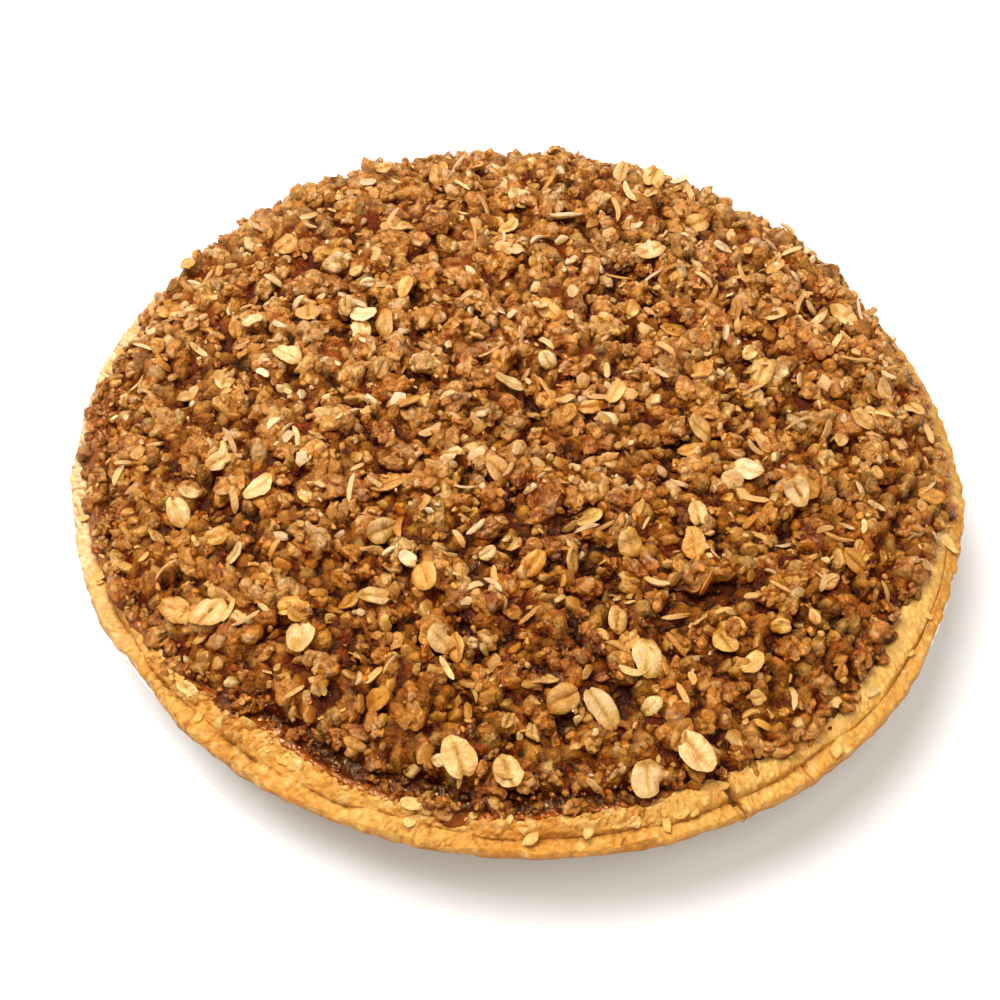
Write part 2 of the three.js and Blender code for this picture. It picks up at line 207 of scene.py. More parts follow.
def plates(u, v, seed):
    """Uneven plates about one unit wide: how far inside its plate a place is, and the plate's number."""
    i, j = np.floor(u), np.floor(v)
    nearest, second, number = np.full(u.shape, 9.0), np.full(u.shape, 9.0), np.zeros(u.shape)
    for di in (-1, 0, 1):
        for dj in (-1, 0, 1):
            mark = (i + di) * 127.1 + (j + dj) * 311.7 + seed * 74.7
            across = i + di + 0.5 + 0.42 * scrambled(mark) - u
            along = j + dj + 0.5 + 0.42 * scrambled(mark + 37.3) - v
            gap = np.hypot(across, along)
            closer = gap < nearest
            second = np.where(closer, nearest, np.minimum(second, gap))
            number = np.where(closer, scrambled(mark + 91.7), number)
            nearest = np.where(closer, gap, nearest)
    return second - nearest, number


def space_noise(points, size, seed):
    cell = np.floor(points / size)
    part = points / size - cell
    part = part * part * (3 - 2 * part)
    total = np.zeros(len(points))
    for di in (0, 1):
        for dj in (0, 1):
            for dk in (0, 1):
                weight = np.prod(np.where((di, dj, dk), part, 1 - part), axis=1)
                place = (cell + (di, dj, dk)) @ np.array([127.1, 311.7, 269.5])
                total += weight * scrambled(place + seed * 74.7)
    return total


def around_edge(column, angle):
    degrees = (np.degrees(angle) - STATIONS[0, 0]) % 360 + STATIONS[0, 0]
    places = np.append(STATIONS[:, 0], STATIONS[0, 0] + 360)
    values = np.append(STATIONS[:, column], STATIONS[0, column])
    after = np.clip(np.searchsorted(places, degrees, side="right"), 1, len(places) - 1)
    share = (degrees - places[after - 1]) / (places[after] - places[after - 1])
    return mix(values[after - 1], values[after], (1 - np.cos(np.pi * share)) / 2)


# Colours are written as sRGB from 0 to 255 and become linear

def colour(red, green, blue):
    value = np.array([red, green, blue]) / 255
    return np.where(value <= 0.04045, value / 12.92, ((value + 0.055) / 1.055) ** 2.4)


# Crumb, from dark syrupy brown to tan
DARK_CRUMB = colour(116, 56, 16)
RED_CRUMB = colour(170, 88, 28)
MID_CRUMB = colour(198, 124, 46)
GOLD_CRUMB = colour(222, 164, 82)
TAN_CRUMB = colour(228, 188, 126)
# Painted shade for the dips of the crumble's core
CREVICE_SHADE = colour(68, 30, 6)

# Oats, pastry and filling
OAT_CREAM = colour(238, 212, 176)
OAT_GOLD = colour(228, 192, 132)
OAT_TAN = colour(206, 156, 90)
PASTRY_GOLD = colour(218, 162, 76)
PASTRY_ORANGE = colour(202, 130, 46)
PASTRY_CREAM = colour(226, 188, 118)
# Painted light for the pastry's left side
PASTRY_PAINTED_LIGHT = colour(246, 220, 168)
# Yellow for the band's right side, partly painted light
PASTRY_YELLOW = colour(242, 194, 106)
PASTRY_BROWN = colour(140, 76, 20)
JAM_DARK = colour(70, 28, 4)
JAM_AMBER = colour(142, 68, 14)
GLAZE = colour(140, 76, 34)


def deepened(tint, shade):
    """A tint in the shade, from 0 to 1: the deeper in, the darker and the redder."""
    shade = np.clip(shade, 0, 1.1)[:, None]
    lost = np.maximum(0, 1 - shade)
    return tint ** (1 + lost * (0.15, 0.75, 1.7)) * shade ** 0.85


# Meshes from arrays: points in millimetres, triangles, and a tint for each point

SHARP_EDGE = math.radians(48)

# Painted shade in the hollows: how far up it reaches rises and falls over the heap, and rises towards its
# front; then the heap is painted darker towards its front and its left
HOLLOW_SHADE_WAVES = (15, 0.7, 81)
FRONT_SHADE_RISE = 0.8
HOLLOW_DEPTHS = (-3.4, 0.9)
HOLLOW_SHADES = (0.15, 1.08)
FRONT_SHADES = (1.04, 0.8)
LEFT_SHADES = (1.04, 0.93)


def shown_object(name, data):
    made = bpy.data.objects.new(name, data)
    bpy.context.scene.collection.objects.link(made)
    return made


class Batch:
    def __init__(self):
        self.points, self.faces, self.tints, self.count = [], [], [], 0

    def add(self, points, faces, tint):
        self.points.append(points)
        self.faces.append(faces + self.count)
        self.tints.append(np.broadcast_to(tint, points.shape))
        self.count += len(points)

    def darken_hollows(self, soft):
        """Painted shade: a point that lies below the softened surface is darker and redder, and more so
        towards the heap's front and its left.
        """
        for i, points in enumerate(self.points):
            x, y, z = points.T
            # How much higher the painted shade reaches here, more towards the front
            darkening = relief(HOLLOW_SHADE_WAVES, x, y) + FRONT_SHADE_RISE * ease(-10, -90, y - 0.4 * x)
            share = ease(*HOLLOW_DEPTHS, z - soft.at(x, y) - darkening)
            shade = mix(*HOLLOW_SHADES, share) * mix(*FRONT_SHADES, ease(80, -90, y - 0.3 * x))
            shade *= mix(*LEFT_SHADES, ease(-60, -100, x))
            self.tints[i] = deepened(np.clip(self.tints[i], 0, 1), shade)

    def piece(self, name, material, slot, *nodes):
        points = np.concatenate(self.points)
        faces = np.concatenate(self.faces)
        tints = np.clip(np.concatenate(self.tints), 0, 1)
        mesh = bpy.data.meshes.new(name)
        mesh.vertices.add(len(points))
        mesh.vertices.foreach_set("co", (points * MM).astype(np.float32).ravel())
        mesh.loops.add(3 * len(faces))
        mesh.loops.foreach_set("vertex_index", faces.astype(np.int32).ravel())
        mesh.polygons.add(len(faces))
        mesh.polygons.foreach_set("loop_start", np.arange(0, 3 * len(faces), 3, dtype=np.int32))
        mesh.update(calc_edges=True)
        mesh.validate()
        mesh.shade_smooth()
        mesh.set_sharp_from_angle(angle=SHARP_EDGE)
        layer = mesh.color_attributes.new("tint", "FLOAT_COLOR", "POINT")
        rgba = np.concatenate([tints, np.ones((len(tints), 1))], axis=1)
        layer.data.foreach_set("color", rgba.astype(np.float32).ravel())
        mesh.materials.append(material)
        shown = shown_object(name, mesh)
        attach(shown, "root")
        if nodes:
            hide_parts(*nodes)


def ball(divisions):
    made = bmesh.new()
    bmesh.ops.create_icosphere(made, subdivisions=divisions, radius=1)
    points = np.array([vertex.co for vertex in made.verts])
    faces = np.array([[vertex.index for vertex in face.verts] for face in made.faces])
    made.free()
    return points, faces


def grid_faces(rows, columns, closed):
    width = columns if closed else columns - 1
    row, column = np.meshgrid(np.arange(rows - 1), np.arange(width), indexing="ij")
    here = row * columns + column
    right = row * columns + (column + 1) % columns
    quads = np.stack([here, right, right + columns, here + columns], axis=-1).reshape(-1, 4)
    return np.concatenate([quads[:, [0, 1, 2]], quads[:, [0, 2, 3]]])


# The crumble's heap

def dome_share(x, y):
    return np.minimum(1, np.hypot(x, y) / around_edge(CRUMBLE, np.arctan2(y, x)))


def dome_height(x, y):
    edge = CRUMBLE_EDGE_HEIGHT + CRUMBLE_BACK_LIFT * np.maximum(0, y) / TIN_RADIUS
    return mix(edge, CRUMBLE_TOP, (1 - dome_share(x, y) ** CRUMBLE_FLATNESS) ** CRUMBLE_ROUNDNESS)


def heap_height(x, y):
    fade = 1 - dome_share(x, y) ** CRUMBLE_FADE
    return dome_height(x, y) + fade * (relief(CRUMBLE_SWELLS, x, y) + relief(CRUMBLE_CRAGS, x, y))


def spread_places(count, turn, draw):
    places = []
    for i in range(count):
        angle = turn + i * GOLDEN_ANGLE + PLACE_DRIFT * draw()
        radius = (around_edge(CRUMBLE, angle) - PLACE_INSET) * math.sqrt((i + 0.5) / count)
        places.append((radius * math.cos(angle), radius * math.sin(angle)))
    return places


def lump_draws(draw):
    draw()
    return mix(*LUMP_WIDTH_SHARES, draw()), 2 * math.pi * draw()


def flake_draws(draw):
    return 2 * math.pi * draw(), mix(-0.25, 0.25, draw()), mix(-0.25, 0.25, draw())


def solid_pieces():
    """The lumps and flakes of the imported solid, in its own order of draws."""
    draw = seeded_draw(11)
    lumps = []
    for i, (x, y) in enumerate(spread_places(LUMP_COUNT, LUMP_TURN, draw)):
        lumps.append((x, y, mix(*LUMP_LENGTHS, (i * 5 % LUMP_COUNT) / LUMP_COUNT), *lump_draws(draw)))
    flakes = []
    for i, (x, y) in enumerate(spread_places(FLAKE_COUNT, FLAKE_TURN, draw)):
        flakes.append((x, y, mix(*FLAKE_LENGTHS, (i * 7 % FLAKE_COUNT) / FLAKE_COUNT), *flake_draws(draw)))
    lumps += [(x, y, length, *lump_draws(draw)) for x, y, length in LARGE_LUMPS]
    flakes += [(x, y, length, *flake_draws(draw)) for x, y, length in LARGE_FLAKES]
    return lumps, flakes


class Surface:
    """A height for each place on a fine square grid, which pieces raise as they are laid."""
    step = 0.5
    half = 126

    def __init__(self, height):
        places = np.arange(-self.half, self.half + self.step, self.step)
        self.places = places
        self.height = height(*np.meshgrid(places, places))
        self.owner = np.zeros(self.height.shape, dtype=int)

    def at(self, x, y):
        u = np.clip((np.asarray(x) + self.half) / self.step, 0, len(self.places) - 1.001)
        v = np.clip((np.asarray(y) + self.half) / self.step, 0, len(self.places) - 1.001)
        i, j = u.astype(int), v.astype(int)
        u, v = u - i, v - j
        low = mix(self.height[j, i], self.height[j, i + 1], u)
        high = mix(self.height[j + 1, i], self.height[j + 1, i + 1], u)
        return mix(low, high, v)

    def cover(self, x, y, reach, top, owner=0):
        """Raises the surface to top(dx, dy) wherever that is higher, within reach of a place."""
        i0, i1 = self.span(x, reach)
        j0, j1 = self.span(y, reach)
        dx, dy = np.meshgrid(self.places[i0:i1] - x, self.places[j0:j1] - y)
        window = self.height[j0:j1, i0:i1]
        raised = top(dx, dy)
        self.owner[j0:j1, i0:i1][raised > window] = owner
        np.maximum(window, raised, out=window)

    def owner_at(self, x, y):
        i = np.rint((x + self.half) / self.step).astype(int)
        j = np.rint((y + self.half) / self.step).astype(int)
        return self.owner[j, i]

    def span(self, place, reach):
        first = int((place - reach + self.half) / self.step)
        last = int((place + reach + self.half) / self.step) + 2
        return max(0, first), min(len(self.places), last)

    def softened(self, passes):
        soft = Surface(lambda x, y: self.height.copy())
        for _ in range(passes):
            for axis in (0, 1):
                height = soft.height
                soft.height = (np.roll(height, 1, axis) + np.roll(height, -1, axis) + 2 * height) / 4
        return soft


def egg_top(z, a, b, c, turn):
    """The upper side of an egg of half sizes a, b, c at height z, for Surface.cover."""
    cos, sin = math.cos(turn), math.sin(turn)

    def top(dx, dy):
        u = (dx * cos + dy * sin) / a
        v = (dy * cos - dx * sin) / b
        rest = 1 - u * u - v * v
        return np.where(rest > 0, z + c * np.sqrt(np.maximum(rest, 0)), -1)

    return top


# The tart below the crumble

def wall_radius(height, inset):
    slope = (FLANGE_INNER_RADIUS - TIN_BASE_RADIUS) / (FLANGE_HEIGHT - TIN_SHEET)
    return TIN_BASE_RADIUS + height * slope - inset * math.hypot(1, slope)


def waved_edge(column, waves, angle):
    radius = around_edge(column, angle)
    return radius + relief(waves, radius * np.cos(angle), radius * np.sin(angle))


def band_radii(angle):
    """The radii of the band's inner edge, its outer edge, the groove and the lip."""
    lip = waved_edge(LIP, LIP_WAVES, angle)
    groove = np.minimum(GROOVE_RADIUS, lip - LIP_ROUNDING - LEAST_STEP)
    band = np.minimum(BAND_RADIUS, groove - LEAST_STEP)
    inner = np.minimum(around_edge(FILLING, angle), BAND_INNER_LIMIT) + CASE_ROOM
    return inner, band, groove, lip


def pastry_top(angle, radius):
    """The pastry's upper surface without its fine relief."""
    inner, band, groove, lip = band_radii(angle)
    knots = [
        (inner - WALL_TOP_INSET, WALL_TOP_HEIGHT),
        (inner, BAND_INNER_HEIGHT),
        ((inner + band) / 2, BAND_HEIGHT),
        (band, BAND_OUTER_HEIGHT),
        (groove, GROOVE_HEIGHT),
        (lip - LIP_ROUNDING, LIP_HEIGHT),
    ]
    height = np.full(np.shape(radius), float(WALL_TOP_HEIGHT))
    for (r0, h0), (r1, h1) in zip(knots, knots[1:]):
        share = np.clip((radius - r0) / (r1 - r0), 0, 1)
        height = np.where(radius >= r0, mix(h0, h1, share), height)
    x, y = radius * np.cos(angle), radius * np.sin(angle)
    return height + relief(PASTRY_SWELLS, x, y) + relief(PASTRY_BLISTERS, x, y)


# Where the jam has run out over the crust: the direction and the width in degrees, and how far
JAM_RUNS = [(-100, 14, 2.4)]


def jam_edge(angle):
    run = sum(far * np.exp(-((np.degrees(angle) - place) / width) ** 2) for place, width, far in JAM_RUNS)
    return around_edge(FILLING, angle) + run


def ground_height(x, y):
    """What the crumble's outermost pieces lie on: the filling, or the pastry beyond it."""
    angle, radius = np.arctan2(y, x), np.hypot(x, y)
    pastry = pastry_top(angle, radius)
    jam = np.where(radius < jam_edge(angle), pastry + 1.4, 0)
    return np.maximum(pastry, np.maximum(jam, FILLING_HEIGHT))


# Materials

def fresh_material(name):
    material = bpy.data.materials.new(name)
    material.use_nodes = True
    tree = material.node_tree
    return material, tree, tree.nodes["Principled BSDF"]


def node(tree, kind, **settings):
    made = tree.nodes.new(kind)
    for key, value in settings.items():
        if key in made.inputs:
            made.inputs[key].default_value = value
        else:
            setattr(made, key, value)
    return made


def object_place(tree):
    return node(tree, "ShaderNodeTexCoord").outputs["Object"]


def noise(tree, size, detail=2.0):
    """A noise whose features are about size millimetres across."""
    made = node(tree, "ShaderNodeTexNoise", Detail=detail, Roughness=0.6)
    made.inputs["Scale"].default_value = 1000 / size
    tree.links.new(object_place(tree), made.inputs["Vector"])
    return made.outputs["Fac"]


def cells(tree, size):
    """Distance from the middle of the nearest of many cells of about size millimetres."""
    made = node(tree, "ShaderNodeTexVoronoi")
    made.inputs["Scale"].default_value = 1000 / size
    tree.links.new(object_place(tree), made.inputs["Vector"])
    return made.outputs["Distance"]


def granules(tree, size):
    """Round grains of about size millimetres, as a height from 0 to 1."""
    return span(tree, cells(tree, size), 0.0, 0.65, 1.0, 0.0)


def span(tree, value, low, high, to_low, to_high):
    made = node(tree, "ShaderNodeMapRange")
    made.inputs["From Min"].default_value = low
    made.inputs["From Max"].default_value = high
    made.inputs["To Min"].default_value = to_low
    made.inputs["To Max"].default_value = to_high
    tree.links.new(value, made.inputs["Value"])
    return made.outputs["Result"]


def maths(tree, operation, a, b):
    made = node(tree, "ShaderNodeMath", operation=operation)
    for socket, value in zip(made.inputs, (a, b)):
        if isinstance(value, (int, float)):
            socket.default_value = value
        else:
            tree.links.new(value, socket)
    return made.outputs[0]


def blend(tree, kind, share, a, b):
    made = node(tree, "ShaderNodeMix", data_type="RGBA", blend_type=kind)
    for key, value in (("Factor", share), ("A", a), ("B", b)):
        socket = [s for s in made.inputs if s.name == key and s.enabled][0]
        if isinstance(value, (int, float)):
            socket.default_value = value
        elif isinstance(value, bpy.types.NodeSocket):
            tree.links.new(value, socket)
        else:
            socket.default_value = (*value, 1)
    return [s for s in made.outputs if s.enabled][0]


def bump(tree, shader, layers):
    """Stacks bumps on a shader: (height socket, how high in millimetres)."""
    below = None
    for height, depth in layers:
        made = node(tree, "ShaderNodeBump", Strength=1.0, Distance=depth * MM)
        tree.links.new(height, made.inputs["Height"])
        if below is not None:
            tree.links.new(below, made.inputs["Normal"])
        below = made.outputs["Normal"]
    tree.links.new(below, shader.inputs["Normal"])


def tint_of(tree):
    return node(tree, "ShaderNodeAttribute", attribute_name="tint").outputs["Color"]


# Gloss that is seen among other brown things takes on their warmth
WARM_GLOSS = (1.0, 0.8, 0.5, 1)


def dress(tree, shader, tint, rough, gloss, layers):
    """Gives a shader its colour, its roughness, the strength of its warm gloss and its bumps."""
    tree.links.new(tint, shader.inputs["Base Color"])
    tree.links.new(rough, shader.inputs["Roughness"])
    shader.inputs["Specular IOR Level"].default_value = gloss
    shader.inputs["Specular Tint"].default_value = WARM_GLOSS
    bump(tree, shader, layers)


def syrupy(shader):
    """Light passes a little way into the caramel, most of all its red."""
    shader.inputs["Subsurface Weight"].default_value = 0.35
    shader.inputs["Subsurface Radius"].default_value = (1.0, 0.4, 0.12)
    shader.inputs["Subsurface Scale"].default_value = 1.2 * MM


def crumb_material(name, gloss, smoothest, roughest):
    material, tree, shader = fresh_material(name)
    # Painted shade between granules: the colour is darker in the gaps between them
    crumb_granule_shade = span(tree, granules(tree, 1.8), 0.15, 0.75, 0.78, 1.1)
    mottle = span(tree, noise(tree, 1.8, detail=5), 0.3, 0.7, 0.7, 1.25)
    made = blend(tree, "MULTIPLY", 1.0, tint_of(tree), maths(tree, "MULTIPLY", crumb_granule_shade, mottle))
    rough = span(tree, noise(tree, 2.2, detail=3), 0.35, 0.65, smoothest, roughest)
    dress(tree, shader, made, rough, gloss, [(granules(tree, 1.3), 0.5), (noise(tree, 0.8, detail=4), 0.7)])
    syrupy(shader)
    return material


def flake_material():
    material, tree, shader = fresh_material("toasted_oat")
    mottle = span(tree, noise(tree, 2.5, detail=3), 0.3, 0.7, 0.85, 1.12)
    made = blend(tree, "MULTIPLY", 1.0, tint_of(tree), mottle)
    # Patches of syrup, a darker brown, on the oats
    darkening = span(tree, noise(tree, 5.0, detail=3), 0.5, 0.68, 0.0, 0.7)
    made = blend(tree, "MIX", darkening, made, MID_CRUMB * 0.7)
    rough = span(tree, noise(tree, 2.5), 0.35, 0.65, 0.16, 0.42)
    dress(tree, shader, made, rough, 0.3, [(noise(tree, 1.6, detail=3), 0.5), (noise(tree, 0.6), 0.25)])
    return material


def pastry_material():
    material, tree, shader = fresh_material("baked_pastry")
    fine = span(tree, noise(tree, 1.2, detail=3), 0.3, 0.7, 0.88, 1.1)
    # Painted shade in the dips between the same granules that bump the pastry
    pastry_granule_shade = span(tree, granules(tree, 2.0), 0.1, 0.6, 0.86, 1.06)
    made = blend(tree, "MULTIPLY", 1.0, tint_of(tree), maths(tree, "MULTIPLY", fine, pastry_granule_shade))
    toast = span(tree, noise(tree, 6.0, detail=3), 0.5, 0.75, 0.0, 0.6)
    made = blend(tree, "MIX", toast, made, PASTRY_ORANGE)
    rough = span(tree, noise(tree, 3.0), 0.3, 0.7, 0.4, 0.65)
    dress(tree, shader, made, rough, 0.2, [(granules(tree, 2.0), 0.45), (noise(tree, 0.8, detail=3), 0.35)])
    return material


def filling_material():
    material, tree, shader = fresh_material("apple_caramel")
    shade = span(tree, noise(tree, 4.0, detail=3), 0.3, 0.7, 0.6, 1.6)
    made = blend(tree, "MULTIPLY", 1.0, tint_of(tree), shade)
    rough = span(tree, noise(tree, 3.0), 0.35, 0.65, 0.12, 0.35)
    dress(tree, shader, made, rough, 0.35, [(noise(tree, 3.0, detail=3), 1.2), (granules(tree, 1.6), 0.25)])
    return material


def foil_material():
    material, tree, shader = fresh_material("bright_foil")
    shade = span(tree, noise(tree, 9.0, detail=2), 0.3, 0.7, 0.8, 0.86)
    made = blend(tree, "MIX", shade, (0.0, 0.0, 0.0), (0.97, 0.9, 0.8))
    made = blend(tree, "MULTIPLY", 1.0, tint_of(tree), made)
    tree.links.new(made, shader.inputs["Base Color"])
    shader.inputs["Metallic"].default_value = 1.0
    rough = span(tree, noise(tree, 4.0, detail=3), 0.3, 0.7, 0.2, 0.3)
    tree.links.new(rough, shader.inputs["Roughness"])
    bump(tree, shader, [(noise(tree, 6.0, detail=2), 0.2)])
    return material


CRUMB = crumb_material("baked_crumb", 0.5, 0.05, 0.24)
CORE = crumb_material("crumb_core", 0.15, 0.2, 0.45)
FLAKE = flake_material()
PASTRY = pastry_material()
JAM = filling_material()
FOIL = foil_material()


CRUMB_COLOURS = np.array([DARK_CRUMB, RED_CRUMB, MID_CRUMB, GOLD_CRUMB, TAN_CRUMB])
CRUMB_WEIGHTS = [0.25, 0.55, 0.9, 0.75, 0.35]
OAT_COLOURS = np.array([OAT_CREAM, OAT_GOLD, OAT_TAN])
OAT_WEIGHTS = [0.8, 0.8, 0.6]


def crumb_colour(draw):
    return draw.dirichlet(CRUMB_WEIGHTS) @ CRUMB_COLOURS


def oat_colour(draw):
    return draw.dirichlet(OAT_WEIGHTS) @ OAT_COLOURS


# Shapes of crumb: a cluster of flattened knobs seen from its middle. Each kind has a count of
# knobs, their smallest and largest share of the crumb's half length, a roughness in
# millimetres, the share of its length that it sinks, how fine its ball is, and the shortest
# and longest crumb with the narrowest and widest as a share of that.
LUMP = {
    "knobs": 70, "sizes": (0.2, 0.42), "rough": 0.45, "sink": 0.02,
    "divisions": 4, "lengths": (8.5, 14), "widths": (0.6, 0.9),
}
NUGGET = {
    "knobs": 20, "sizes": (0.32, 0.56), "rough": 0.35, "sink": 0.02,
    "divisions": 3, "lengths": (4.5, 9.5), "widths": (0.55, 0.9),
}
GRAIN = {
    "knobs": 4, "sizes": (0.45, 0.7), "rough": 0.15, "sink": 0.05,
    "divisions": 2, "lengths": (1.4, 3.6), "widths": (0.55, 0.95),
}
KNOB_FLATNESS = ((0.9, 0.65, 0.4), (1.25, 1.0, 0.8))
KNOB_DISTANCES = (0.42, 0.72)
LEAST_REACH = 0.6
CLUSTER_REACH = 0.95
CLEFT_WIDTH = 0.09
OAT_KNOBS = 0.22
OWN_COLOUR = 0.4
CRUMB_HEIGHTS = (0.66, 0.9)
ANY_TURN = (0, 6)
ANY_PLACE = (0, 500, 3)

# No crumb's top stands more than this over the heap, or over the ground beside it
PROUD = 1.4
RIM_PROUD = 4.6


def crumb_reach(directions, kind, draw):
    """How far the cluster reaches each way, which knob shows there, and how deep in a cleft it is."""
    count = kind["knobs"]
    centres = draw.normal(size=(count, 3))
    centres *= (draw.uniform(*KNOB_DISTANCES, count) / np.linalg.norm(centres, axis=1))[:, None]
    radii = draw.uniform(*kind["sizes"], (count, 1)) * draw.uniform(*KNOB_FLATNESS, (count, 3))
    axes = np.linalg.qr(draw.normal(size=(count, 3, 3)))[0] / radii[:, None, :]
    heading = np.einsum("dk,nkj->dnj", directions, axes)
    middle = np.einsum("nk,nkj->nj", centres, axes)
    a = (heading ** 2).sum(-1)
    b = (heading * middle).sum(-1)
    inside = b * b - a * ((middle ** 2).sum(-1) - 1)
    reach = np.where(inside > 0, (b + np.sqrt(np.maximum(inside, 0))) / a, 0)
    ranked = np.sort(reach, axis=1)
    cleft = ease(CLEFT_WIDTH, 0, ranked[:, -1] - ranked[:, -2])
    return np.maximum(ranked[:, -1], LEAST_REACH), reach.argmax(1), cleft


def turned(points, turn, tilt_x=0.0, tilt_y=0.0):
    spin = Matrix.Rotation(tilt_x, 3, "X") @ Matrix.Rotation(tilt_y, 3, "Y") @ Matrix.Rotation(turn, 3, "Z")
    return points @ np.array(spin).T


def knob_colours(count, shade, draw):
    own = draw.dirichlet(CRUMB_WEIGHTS, count) @ CRUMB_COLOURS
    oats = draw.dirichlet(OAT_WEIGHTS, count) @ OAT_COLOURS
    own = np.where(draw.uniform(size=(count, 1)) < OAT_KNOBS, oats, own)
    return mix(shade * draw.uniform(0.8, 1.08), own, OWN_COLOUR)


def crumb_points(directions, half, shares, turn, kind, shade, draw):
    """A crumb's points about its middle, and a tint for each, with painted shade in the clefts between knobs
    and towards its underside.
    """
    reach, shown, cleft = crumb_reach(directions, kind, draw)
    points = directions * (reach / CLUSTER_REACH)[:, None] * half
    offset = draw.uniform(*ANY_PLACE)
    points += directions * (kind["rough"] * space_noise(points + offset, 1.6, 9))[:, None]
    points = turned(points * (1, *shares), turn, *draw.uniform(-0.3, 0.3, 2))
    tint = knob_colours(kind["knobs"], shade, draw)[shown]
    # Painted shade: darker where the knobs meet and in the clefts, and towards the crumb's underside
    hollow = mix(0.5, 1.06, ease(0.6, 0.9, reach)) * mix(1, 0.8, cleft)
    rise = half * shares[1]
    low = mix(0.3, 1.05, ease(-rise, rise * 0.5, points[:, 2]))
    return points, deepened(tint, hollow * low)


def lay_crumb(batch, surface, shape, place, length, width_share, turn, kind, draw, shade=None):
    directions, faces = shape
    half = length / 2
    height_share = draw.uniform(*CRUMB_HEIGHTS)
    own = crumb_colour(draw)
    shade = own if shade is None else shade
    points, tint = crumb_points(directions, half, (width_share, height_share), turn, kind, shade, draw)
    x, y = place
    z = surface.at(x, y) - length * kind["sink"]
    limit = max(heap_height(x, y) + PROUD, surface.at(x, y) - 1 + PROUD, ground_height(x, y) + RIM_PROUD)
    z = min(z, limit - half * height_share)
    batch.add(points + (x, y, z), faces, tint)
    top = egg_top(z, half * 0.97, half * width_share * 0.97, half * height_share * 0.96, turn)
    surface.cover(x, y, half, top)


def lay_any_crumb(batch, surface, shape, place, kind, draw):
    """A crumb with a length, a width and a turn by chance."""
    length, width_share = draw.uniform(*kind["lengths"]), draw.uniform(*kind["widths"])
    lay_crumb(batch, surface, shape, place, length, width_share, draw.uniform(*ANY_TURN), kind, draw)


# Where the dark jam shows in front: the direction in degrees and how much of it, in millimetres
BARE_JAM = [(-114, 1.0), (-83, 0.8)]
BARE_JAM_WIDTH = 8
BARE_EVERYWHERE = 0.3
RIM_REACH = 9
LIMIT_MARGIN = 0.5


def heading(angle):
    return np.array([math.cos(angle), math.sin(angle)])


def with_place(places, place, spacing):
    """The places with one more, where that keeps its distance from them all."""
    if len(places) and np.hypot(*(places - place).T).min() <= spacing:
        return places
    return np.vstack([places, place])


def scattered_places(count, spacing, outer, draw):
    """Places on the heap that keep their distance, out to a share of its radius."""
    places = np.empty((0, 2))
    for _ in range(count * 12):
        if len(places) == count:
            break
        angle = draw.uniform(-math.pi, math.pi)
        share = math.sqrt(draw.uniform(0, outer ** 2))
        places = with_place(places, share * around_edge(CRUMBLE, angle) * heading(angle), spacing)
    return places


def settled(places, surface, count, draw):
    """The places that lie lowest beside their surroundings, with some chance in it."""
    x, y = places.T
    over = surface.at(x, y) - surface.softened(60).at(x, y) + draw.normal(0, 0.6, len(places))
    return places[np.sort(np.argsort(over)[:count])]


def crumb_limit(angle):
    """How far out the crumbs lie: near the filling's edge, but short of it where the jam shows."""
    degrees = math.degrees(angle)
    shown = [far * math.exp(-((degrees - place) / BARE_JAM_WIDTH) ** 2) for place, far in BARE_JAM]
    return max(around_edge(CRUMBLE, angle), jam_edge(angle) - (BARE_EVERYWHERE + sum(shown)))


def rim_places(count, spacing, inward, draw):
    """Places round the heap's edge, from inward of it out to the crumbs' limit."""
    places = np.empty((0, 2))
    for _ in range(count * 30):
        if len(places) == count:
            break
        angle = draw.uniform(-math.pi, math.pi)
        radius = around_edge(CRUMBLE, angle) + draw.uniform(-inward, RIM_REACH)
        if radius <= crumb_limit(angle) - LIMIT_MARGIN:
            places = with_place(places, radius * heading(angle), spacing)
    return places


# Shapes of oats: slabs of rings, from the middle of the top down to the middle of the bottom

def slab_faces(rings, sectors):
    count = rings * sectors
    k = np.arange(sectors)
    after = (k + 1) % sectors
    top = np.stack([np.full(sectors, count), k, after], axis=1)
    strips = grid_faces(rings, sectors, True)[:, ::-1]
    bottom = np.stack([np.full(sectors, count + 1), count - sectors + after, count - sectors + k], axis=1)
    return np.concatenate([top, strips, bottom])


def slab_points(outline_x, outline_y, profile, thickness):
    """Rings of (share of the outline, height), then the middles of the top and the bottom."""
    rings = [np.stack([share * outline_x, share * outline_y, np.full(len(outline_x), height)], axis=1)
             for share, height in profile]
    middles = [[0, 0, profile[0][1]], [0, 0, profile[-1][1]]]
    points = np.concatenate([*rings, middles])
    points[:, 2] *= thickness
    return points


FLAKE_SECTORS = 24
FLAKE_PROFILE = [(0.3, 0.5), (0.6, 0.5), (0.84, 0.46), (1.0, 0.1), (0.97, -0.3), (0.6, -0.5)]
CHUNK_SECTORS = 9
CHUNK_PROFILE = [(0.6, 0.5), (0.9, 0.42), (1.0, 0.1), (0.92, -0.42)]
OAT_BROWNED = 0.7
FRAGMENT_SECTORS = 6
FRAGMENT_PROFILE = [(0.85, 0.5), (1.0, -0.3)]


